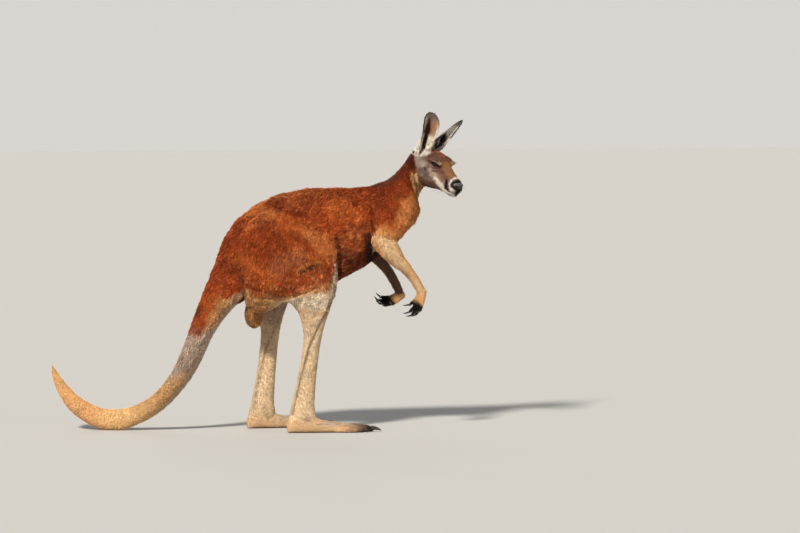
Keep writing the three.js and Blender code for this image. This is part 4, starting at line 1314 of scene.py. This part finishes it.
def sowRoots(names):
    # places on the skin's faces, as evenly as their spacing asks
    faces = skinFaces[within(skinGroup[skinFaces[:, 0]], *names)]
    corners = surface.points[faces]
    area = np.linalg.norm(np.cross(corners[:, 1] - corners[:, 0], corners[:, 2] - corners[:, 0]), axis=1) / 2
    spacing = perGroup("spacing")[skinGroup[faces[:, 0]]] * mm
    wanted = np.cumsum(area / spacing**2)
    marks = np.arange(int(wanted[-1])) + draw.random(int(wanted[-1]))
    face = np.searchsorted(wanted, marks).clip(0, len(faces) - 1)
    first, second = draw.random((2, len(face)))
    over = first + second > 1
    first[over] = 1 - first[over]
    second[over] = 1 - second[over]
    return faces[face], np.stack([1 - first - second, first, second], 1)


def bakePlaces(roots, number, names):
    # a cell of the map for each group, unrolled round the way its coat runs
    place = np.zeros((len(roots), 2))
    ways = lieOfGroups()
    for cell, name in enumerate(names):
        chosen = number == groups.index(name)
        if not chosen.any():
            continue
        way = ways[groups.index(name)]
        offset = roots[chosen] - roots[chosen].mean(0)
        across = unit(np.cross(way, [0.3, 0.9, 0.2]))
        turn = np.arctan2(offset @ np.cross(way, across), offset @ across) / (2 * math.pi) + 0.5
        run = offset @ way
        run = (run - run.min()) / max(np.ptp(run), 1e-9)
        place[chosen, 0] = (cell + 0.01 + 0.98 * turn) / len(names)
        place[chosen, 1] = 0.005 + 0.99 * run
    return place


def tuftMesh(name, tufts, chosen):
    # every tuft is a bent blade with three edges, closed at its root and pointed at its tip
    roots, normals, ways, gather, colour, tipColour, place = (
        tufts[key][chosen] for key in ("roots", "normals", "ways", "gather", "colour", "tipColour", "place"))
    length, width, lift = (tufts[key][chosen][:, None] for key in ("length", "width", "lift"))
    count = len(roots)
    side = np.cross(ways, normals)
    half = width / 2
    thick = width * coatSettings["thick"]
    base = roots - normals * coatSettings["sink"] * mm
    middle = roots + ways * length * 0.5 + normals * length * lift * 0.66 + gather * 0.4
    tip = roots + ways * length + normals * length * lift + gather
    points = np.stack([
        base - side * half, base + side * half, base + normals * thick,
        middle - side * half * 0.8, middle + side * half * 0.8, middle + normals * thick * 0.9, tip], 1)
    points[..., 2] = points[..., 2].clip(coatSettings["floor"] * mm)
    quads = np.array([[0, 3, 4, 1], [1, 4, 5, 2], [2, 5, 3, 0]])
    ends = np.array([[3, 6, 4], [4, 6, 5], [5, 6, 3], [0, 1, 2]])
    start = np.arange(count)[:, None, None] * 7
    loops = np.concatenate([(quads + start).reshape(count, -1), (ends + start).reshape(count, -1)], 1).ravel()
    sizes = np.tile([4, 4, 4, 3, 3, 3, 3], count)
    mesh = bpy.data.meshes.new(name)
    mesh.vertices.add(count * 7)
    mesh.vertices.foreach_set("co", points.astype(np.float32).ravel())
    mesh.loops.add(len(loops))
    mesh.loops.foreach_set("vertex_index", loops.astype(np.int32))
    mesh.polygons.add(len(sizes))
    mesh.polygons.foreach_set("loop_start", (np.cumsum(sizes) - sizes).astype(np.int32))
    mesh.update(calc_edges=True)
    spot = np.array([[-1, -1], [1, -1], [0, -1], [-1, 0.2], [1, 0.2], [0, 0.2], [0, 1]])
    flat = (place[:, None] + spot * coatSettings["patch"]).reshape(-1, 2)[loops]
    mesh.uv_layers.new(name="OFBake").uv.foreach_set("vector", flat.astype(np.float32).ravel())
    shades = np.stack([colour * coatSettings["rootShade"]] * 3 + [colour * coatSettings["middleShade"]] * 3
                      + [tipColour], 1)
    storeColour(mesh, shades.clip(0, 1).reshape(-1, 3))
    smoothShade(mesh)
    return mesh


def clumpsOf(roots):
    # the number of each tuft's clump, and the way to the clump's middle
    few = max(1, len(roots) // coatSettings["clump"])
    seeds = roots[draw.permutation(len(roots))[:few]]
    tree = KDTree(few)
    for index, seed in enumerate(seeds.tolist()):
        tree.insert(seed, index)
    tree.balance()
    nearest = np.array([tree.find(root)[1] for root in roots.tolist()])
    return nearest, seeds[nearest] - roots


def coatPiece(name, names):
    corners, share = sowRoots(names)

    def at(values):
        return (values[corners] * (share[..., None] if values.ndim > 1 else share)).sum(1)

    def vary(amount):
        return 1 + amount * draw.normal(0, 1, count).clip(-2, 2)

    roots, normals = at(surface.points), unit(at(skinNormals))
    count = len(roots)
    places = inBody(roots)
    clump, inwards = clumpsOf(roots)
    clumpLight, clumpLift = draw.normal(0, 1, (2, clump.max() + 1)).clip(-2, 2)[:, clump]
    clumpTurn = draw.normal(0, 1, (clump.max() + 1, 3))[clump]
    patchy = at(fieldOf["patchy"])
    light = patchy * at(fieldOf["mottle"])
    swirl = np.stack([patches(places, 26, seed) for seed in (40, 41, 42)], 1)
    loose = (0.3 + patchy)[:, None]
    ways = at(skinLie) + coatSettings["stray"] * draw.normal(0, 1, (count, 3))
    ways = ways + loose * (0.5 * swirl + 0.16 * clumpTurn)
    ways = unit(ways - normals * (ways * normals).sum(1, keepdims=True))
    gather = coatSettings["gather"] * (inwards - normals * (inwards * normals).sum(1, keepdims=True)) * loose
    number = skinGroup[corners[:, 0]]
    shade = np.exp(light + 0.3 * patchy * clumpLight + 0.1 * vary(1) - 0.1)
    colour = markings(roots, normals, number, at(headShare)) * shade[:, None]
    tipShare = (coatSettings["pale"] * patchy * (1 + clumpLight + 1.5 * light)).clip(0, 0.6)[:, None] * 2
    tipTone = tones["tip"] * tipShare * colour.mean(1, keepdims=True) / 0.14  # as light as the hair under it
    tufts = {
        "roots": roots, "normals": normals, "ways": ways, "gather": gather, "colour": colour,
        "tipColour": colour * coatSettings["tipShade"] * (1 - tipShare) + tipTone,
        "place": bakePlaces(roots, number, names),
        "length": at(fieldOf["length"]) * mm * vary(0.2) * (1 + 0.5 * light),
        "width": at(fieldOf["width"]) * mm * vary(0.18),
        "lift": (at(fieldOf["lift"]) * (vary(0.3) + 0.8 * patchy * clumpLift + 0.9 * light)).clip(0.04, 0.8),
    }
    pieces = []
    pieceCount = max(1, math.ceil(count / coatSettings["most"]))
    order = np.argsort(roots[:, 0], kind="stable")
    for turn, chosen in enumerate(np.array_split(order, pieceCount)):
        label = name + (str(turn + 1) if pieceCount > 1 else "")
        pieces.append(addObject(label, tuftMesh(label, tufts, chosen)))
    return pieces


def makeCoatMaterial():
    board = Board("coat of tufts", Roughness=0.65, Specular_IOR_Level=0.14)
    flecks = board.noise(board.place(), 300)
    return board.feed(Base_Color=board.coatColour(flecks * 0.5 + 0.75))


def makeSkinMaterial():
    board = Board("skin under the coat", Roughness=0.75, Specular_IOR_Level=0.14)
    place = board.place()
    hairs = board.noise(place, 900, 3.0)
    flecks = board.noise(place, 160, 3.0)
    colour = board.coatColour(hairs * 0.4 + flecks * 0.4 + 0.45)
    return board.feed(Base_Color=colour, Normal=board.bump(hairs, 0.5, 0.0012))


skin.data.materials.clear()
skin.data.materials.append(makeSkinMaterial())
smoothShade(skin.data)
coatMaterial = makeCoatMaterial()
tuftCount = 0
for coatName, (coatSlot, coatGroups) in coats.items():
    for piece in coatPiece(coatName, coatGroups):
        piece.data.materials.append(coatMaterial)
        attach(piece, "root")
        tuftCount += len(piece.data.vertices) // 7
print("coat made:", tuftCount, "tufts")

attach(skin, "root")
ownPieces = ("nosePad", "orb")  # replaced by the nose and the eyes
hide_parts(*[node for name, nodes in flesh.items() if name not in ownPieces for node in nodes])


def keepPiece(name, shape, material, nodes=()):
    # a finished bmesh as a piece of its own, in the place of those nodes
    mesh = bpy.data.meshes.new(name)
    shape.normal_update()
    bmesh.ops.recalc_face_normals(shape, faces=shape.faces)
    shape.to_mesh(mesh)
    shape.free()
    smoothShade(mesh)
    mesh.materials.append(material)
    piece = addObject(name, mesh)
    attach(piece, "root")
    if nodes:
        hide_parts(*nodes)
    return piece


eyeballSettings = {
    "bulge": 1.3, "cornea": 8.0,
    "rings": ((3.4, 4.0), (7.6, 8.8)),  # where the pupil fades into the iris and the iris into the white
}


def makeEyeMaterial(name, pole):
    board = Board("wet eye " + name, Roughness=0.14, Specular_IOR_Level=0.2,
                  Coat_Weight=0.22, Coat_Roughness=0.04)
    place = board.place()
    away = board.add("ShaderNodeVectorMath", {"operation": "DISTANCE"}, {0: place, 1: tuple(pole)}, "Value")
    streaks = board.noise(place, 1400, 2.0)
    iris = board.mix(streaks, tone(62, 36, 20), tone(24, 14, 9))
    pupil, white = (away.between(inner * mm, outer * mm) for inner, outer in eyeballSettings["rings"])
    colour = board.mix(pupil, tones["black"] * 0.5, iris)
    return board.feed(Base_Color=board.mix(white, colour, tone(38, 26, 20)))


def makeEye(name, side):
    centre, axes = eyeFrame(side)
    shape = bmesh.new()
    ball, bulge = eyeSettings["ball"], eyeballSettings["bulge"]
    bmesh.ops.create_uvsphere(shape, u_segments=48, v_segments=32, radius=ball)
    for vertex in shape.verts:
        x, y, z = vertex.co
        swell = bulge * max(0, 1 - math.hypot(x, y) / eyeballSettings["cornea"]) ** 1.5 * (z > 0)
        vertex.co = headPoint(*(centre + np.array([x, y, z + swell]) @ axes))
    pole = headPoint(*(centre + np.array([0, 0, ball + bulge]) @ axes))
    keepPiece("eyeball" + name, shape, makeEyeMaterial(name, pole), ["eye_" + name.lower()])


for sideName, side in sides.items():
    makeEye(sideName.title(), side)

noseSettings = {
    "at": (174, 0, -58), "size": (16, 24.4, 14), "groove": 1.6, "grooveWidth": 1.8,
    "nostril": (183, 15.5, -59), "pit": (8, 4.2, 3.8), "pitDepth": 5.5, "flat": 0.12,
}


def makeNose():
    shape = bmesh.new()
    bmesh.ops.create_uvsphere(shape, u_segments=96, v_segments=64, radius=1)
    middle, size = np.array(noseSettings["at"]), np.array(noseSettings["size"])
    for vertex in shape.verts:
        out = np.array(vertex.co)
        spot = middle + out * size * (1, 1, 1 - noseSettings["flat"] * out[2])
        ahead = ramp(-0.2, 0.5, out[0])
        spot[0] -= noseSettings["groove"] * ahead * math.exp(-((spot[1] / noseSettings["grooveWidth"]) ** 2))
        for side in sides.values():
            gap = (spot - np.array(noseSettings["nostril"]) * (1, side, 1)) / noseSettings["pit"]
            spot[0] -= noseSettings["pitDepth"] * ahead * math.exp(-(gap[1] ** 2 + gap[2] ** 2) ** 1.5)
        vertex.co = headPoint(*spot)
    board = Board("nose leather", Roughness=0.5, Specular_IOR_Level=0.4, Coat_Weight=0.2, Coat_Roughness=0.3)
    place = board.place()
    pebbles = board.add("ShaderNodeTexVoronoi", None, {"Vector": place, "Scale": 900}, "Distance")
    dark = board.mix(board.noise(place, 300), tone(14, 12, 11), tone(36, 32, 31))
    # the upper part of the leather is lighter grey: a painted highlight
    paintedHighlight = board.mix(board.noise(place, 300), tone(58, 57, 58), tone(98, 96, 97))
    upwards = {0: place, 1: tuple(headAxes[2])}
    height = board.add("ShaderNodeVectorMath", {"operation": "DOT_PRODUCT"}, upwards, "Value")
    middleHeight = float(np.array(headPoint(*middle)) @ headAxes[2])
    colour = board.mix(height.between(middleHeight - 2 * mm, middleHeight + 9 * mm), dark, paintedHighlight)
    material = board.feed(Base_Color=colour, Normal=board.bump(pebbles, 0.6, 0.0006))
    keepPiece("noseLeather", shape, material, ["nose"])


makeNose()

clawSettings = {"voxel": 0.9 * mm, "grow": 0.35 * mm, "rounds": 5}


def makeClaws(name, nodes, material):
    # smooth copies of the claw nodes, joined
    shape = joined(nodes, [clawSettings["grow"]] * len(nodes))
    piece = keepPiece(name, shape, material, nodes)
    withModifier(piece, "REMESH", mode="VOXEL", voxel_size=clawSettings["voxel"])
    horn = Surface(piece.data)
    horn.relax(np.full(len(horn.points), float(clawSettings["rounds"])))
    horn.write()
    smoothShade(piece.data)


def makeHornMaterial():
    board = Board("claw horn", Roughness=0.38, Coat_Weight=0.2, Coat_Roughness=0.25)
    stretched = board.add("ShaderNodeMapping", None, {"Vector": board.place(), "Scale": (90, 500, 500)})
    streaks = board.noise(stretched, 1.0, 4.0)
    colour = board.mix(streaks, tone(22, 18, 16), tone(74, 62, 52))
    return board.feed(Base_Color=colour, Normal=board.bump(streaks, 0.4, 0.0006))


hornMaterial = makeHornMaterial()
for side in sides:
    makeClaws("handClaws_" + side, [f"claw_hand_{digit}_{side}" for digit in digits], hornMaterial)
    makeClaws("toeClaws_" + side, [f"claw_toe_{digit}_{side}" for digit in digits[1:]], hornMaterial)

# Lashes and whiskers.
hairSettings = {
    "sides": 4, "cuts": 4,
    "tip": 0.15,  # how thick it is there against its root
    "lashes": 30,  # on each upper lid
    "lashThick": 0.8,
    "lashLength": 11,
    "lashMiddle": 4,  # how much longer in the middle of the lid
    "whiskerThick": 0.27,
}


def addHair(shape, root, way, bend, length, thick):
    # one tapering hair in the head's own frame, bent towards `bend` at its tip
    before = len(shape.verts)
    bmesh.ops.create_cone(shape, cap_ends=True, segments=hairSettings["sides"], radius1=thick,
                          radius2=thick * hairSettings["tip"], depth=1)
    shape.verts.ensure_lookup_table()
    edges = {edge for vertex in shape.verts[before:] for edge in vertex.link_edges}
    long = [edge for edge in edges if abs(edge.verts[0].co.z - edge.verts[1].co.z) > 0.5]
    bmesh.ops.subdivide_edges(shape, edges=long, cuts=hairSettings["cuts"])
    shape.verts.ensure_lookup_table()
    way = unit(np.array(way, float))
    aside = (0.31, 0.2, 0.93)  # any way that no hair runs
    across = unit(np.cross(way, aside))
    for vertex in shape.verts[before:]:
        share = vertex.co.z + 0.5
        spine = root + way * length * share + np.array(bend) * length * share**2
        vertex.co = headPoint(*(spine + across * vertex.co.x + np.cross(way, across) * vertex.co.y))


def makeLashes(name, side):
    centre, axes = eyeFrame(side)
    shape = bmesh.new()
    for across in np.linspace(-13, 13.5, hairSettings["lashes"]):
        across += draw.normal(0, 0.4)
        bow = 1 - (across / eyeSettings["half"]) ** 2
        height = eyeSettings["above"] * bow + 0.6
        out = math.sqrt(max(eyeSettings["lid"] ** 2 - across**2 - height**2, 1)) + 0.6
        root = centre + np.array([across, height, out]) @ axes
        way = np.array([0.03 * across, -0.25 + 0.1 * draw.normal(), 1.0]) @ axes
        length = (hairSettings["lashLength"] + hairSettings["lashMiddle"] * bow) * (1 + 0.15 * draw.normal())
        addHair(shape, root, way, np.array([0, 0.3, -0.1]) @ axes, length, hairSettings["lashThick"])
    keepPiece("lashes" + name, shape, hairMaterial)


# Rows of whiskers on each flank of the head: [ahead, up], the length, and how many.
whiskerRows = [
    ([(150, -62), (172, -58)], 46, 5), ([(150, -70), (174, -66)], 52, 6), ([(154, -77), (174, -75)], 44, 5),
    ([(152, -98), (168, -98)], 22, 4), ([(46, -46), (53, -52)], 34, 3), ([(66, -6), (84, -10)], 20, 4),
]


def makeWhiskers(name, side):
    tree = skinTree()
    shape = bmesh.new()
    for (first, last), whisker, many in whiskerRows:
        for share in np.linspace(0, 1, many):
            x, z = np.array(first) * (1 - share) + np.array(last) * share + draw.normal(0, 0.8, 2)
            root = headFlank(tree, x, z, side)
            way = (-0.35 + 0.2 * draw.normal(), side, -0.2 + 0.15 * draw.normal())
            length = whisker * (1 + 0.2 * draw.normal())
            addHair(shape, root, way, (-0.3, -0.1 * side, -0.35), length, hairSettings["whiskerThick"])
    keepPiece("whiskers" + name, shape, hairMaterial)


def makeHairMaterial():
    board = Board("stiff dark hair", Roughness=0.45)
    flecks = board.noise(board.place(), 500)
    return board.feed(Base_Color=board.mix(flecks, tone(16, 12, 10), tone(52, 40, 32)))


hairMaterial = makeHairMaterial()
for sideName, side in sides.items():
    makeLashes(sideName.title(), side)
    makeWhiskers(sideName.title(), side)
print("eyes, nose, claws, lashes and whiskers made")
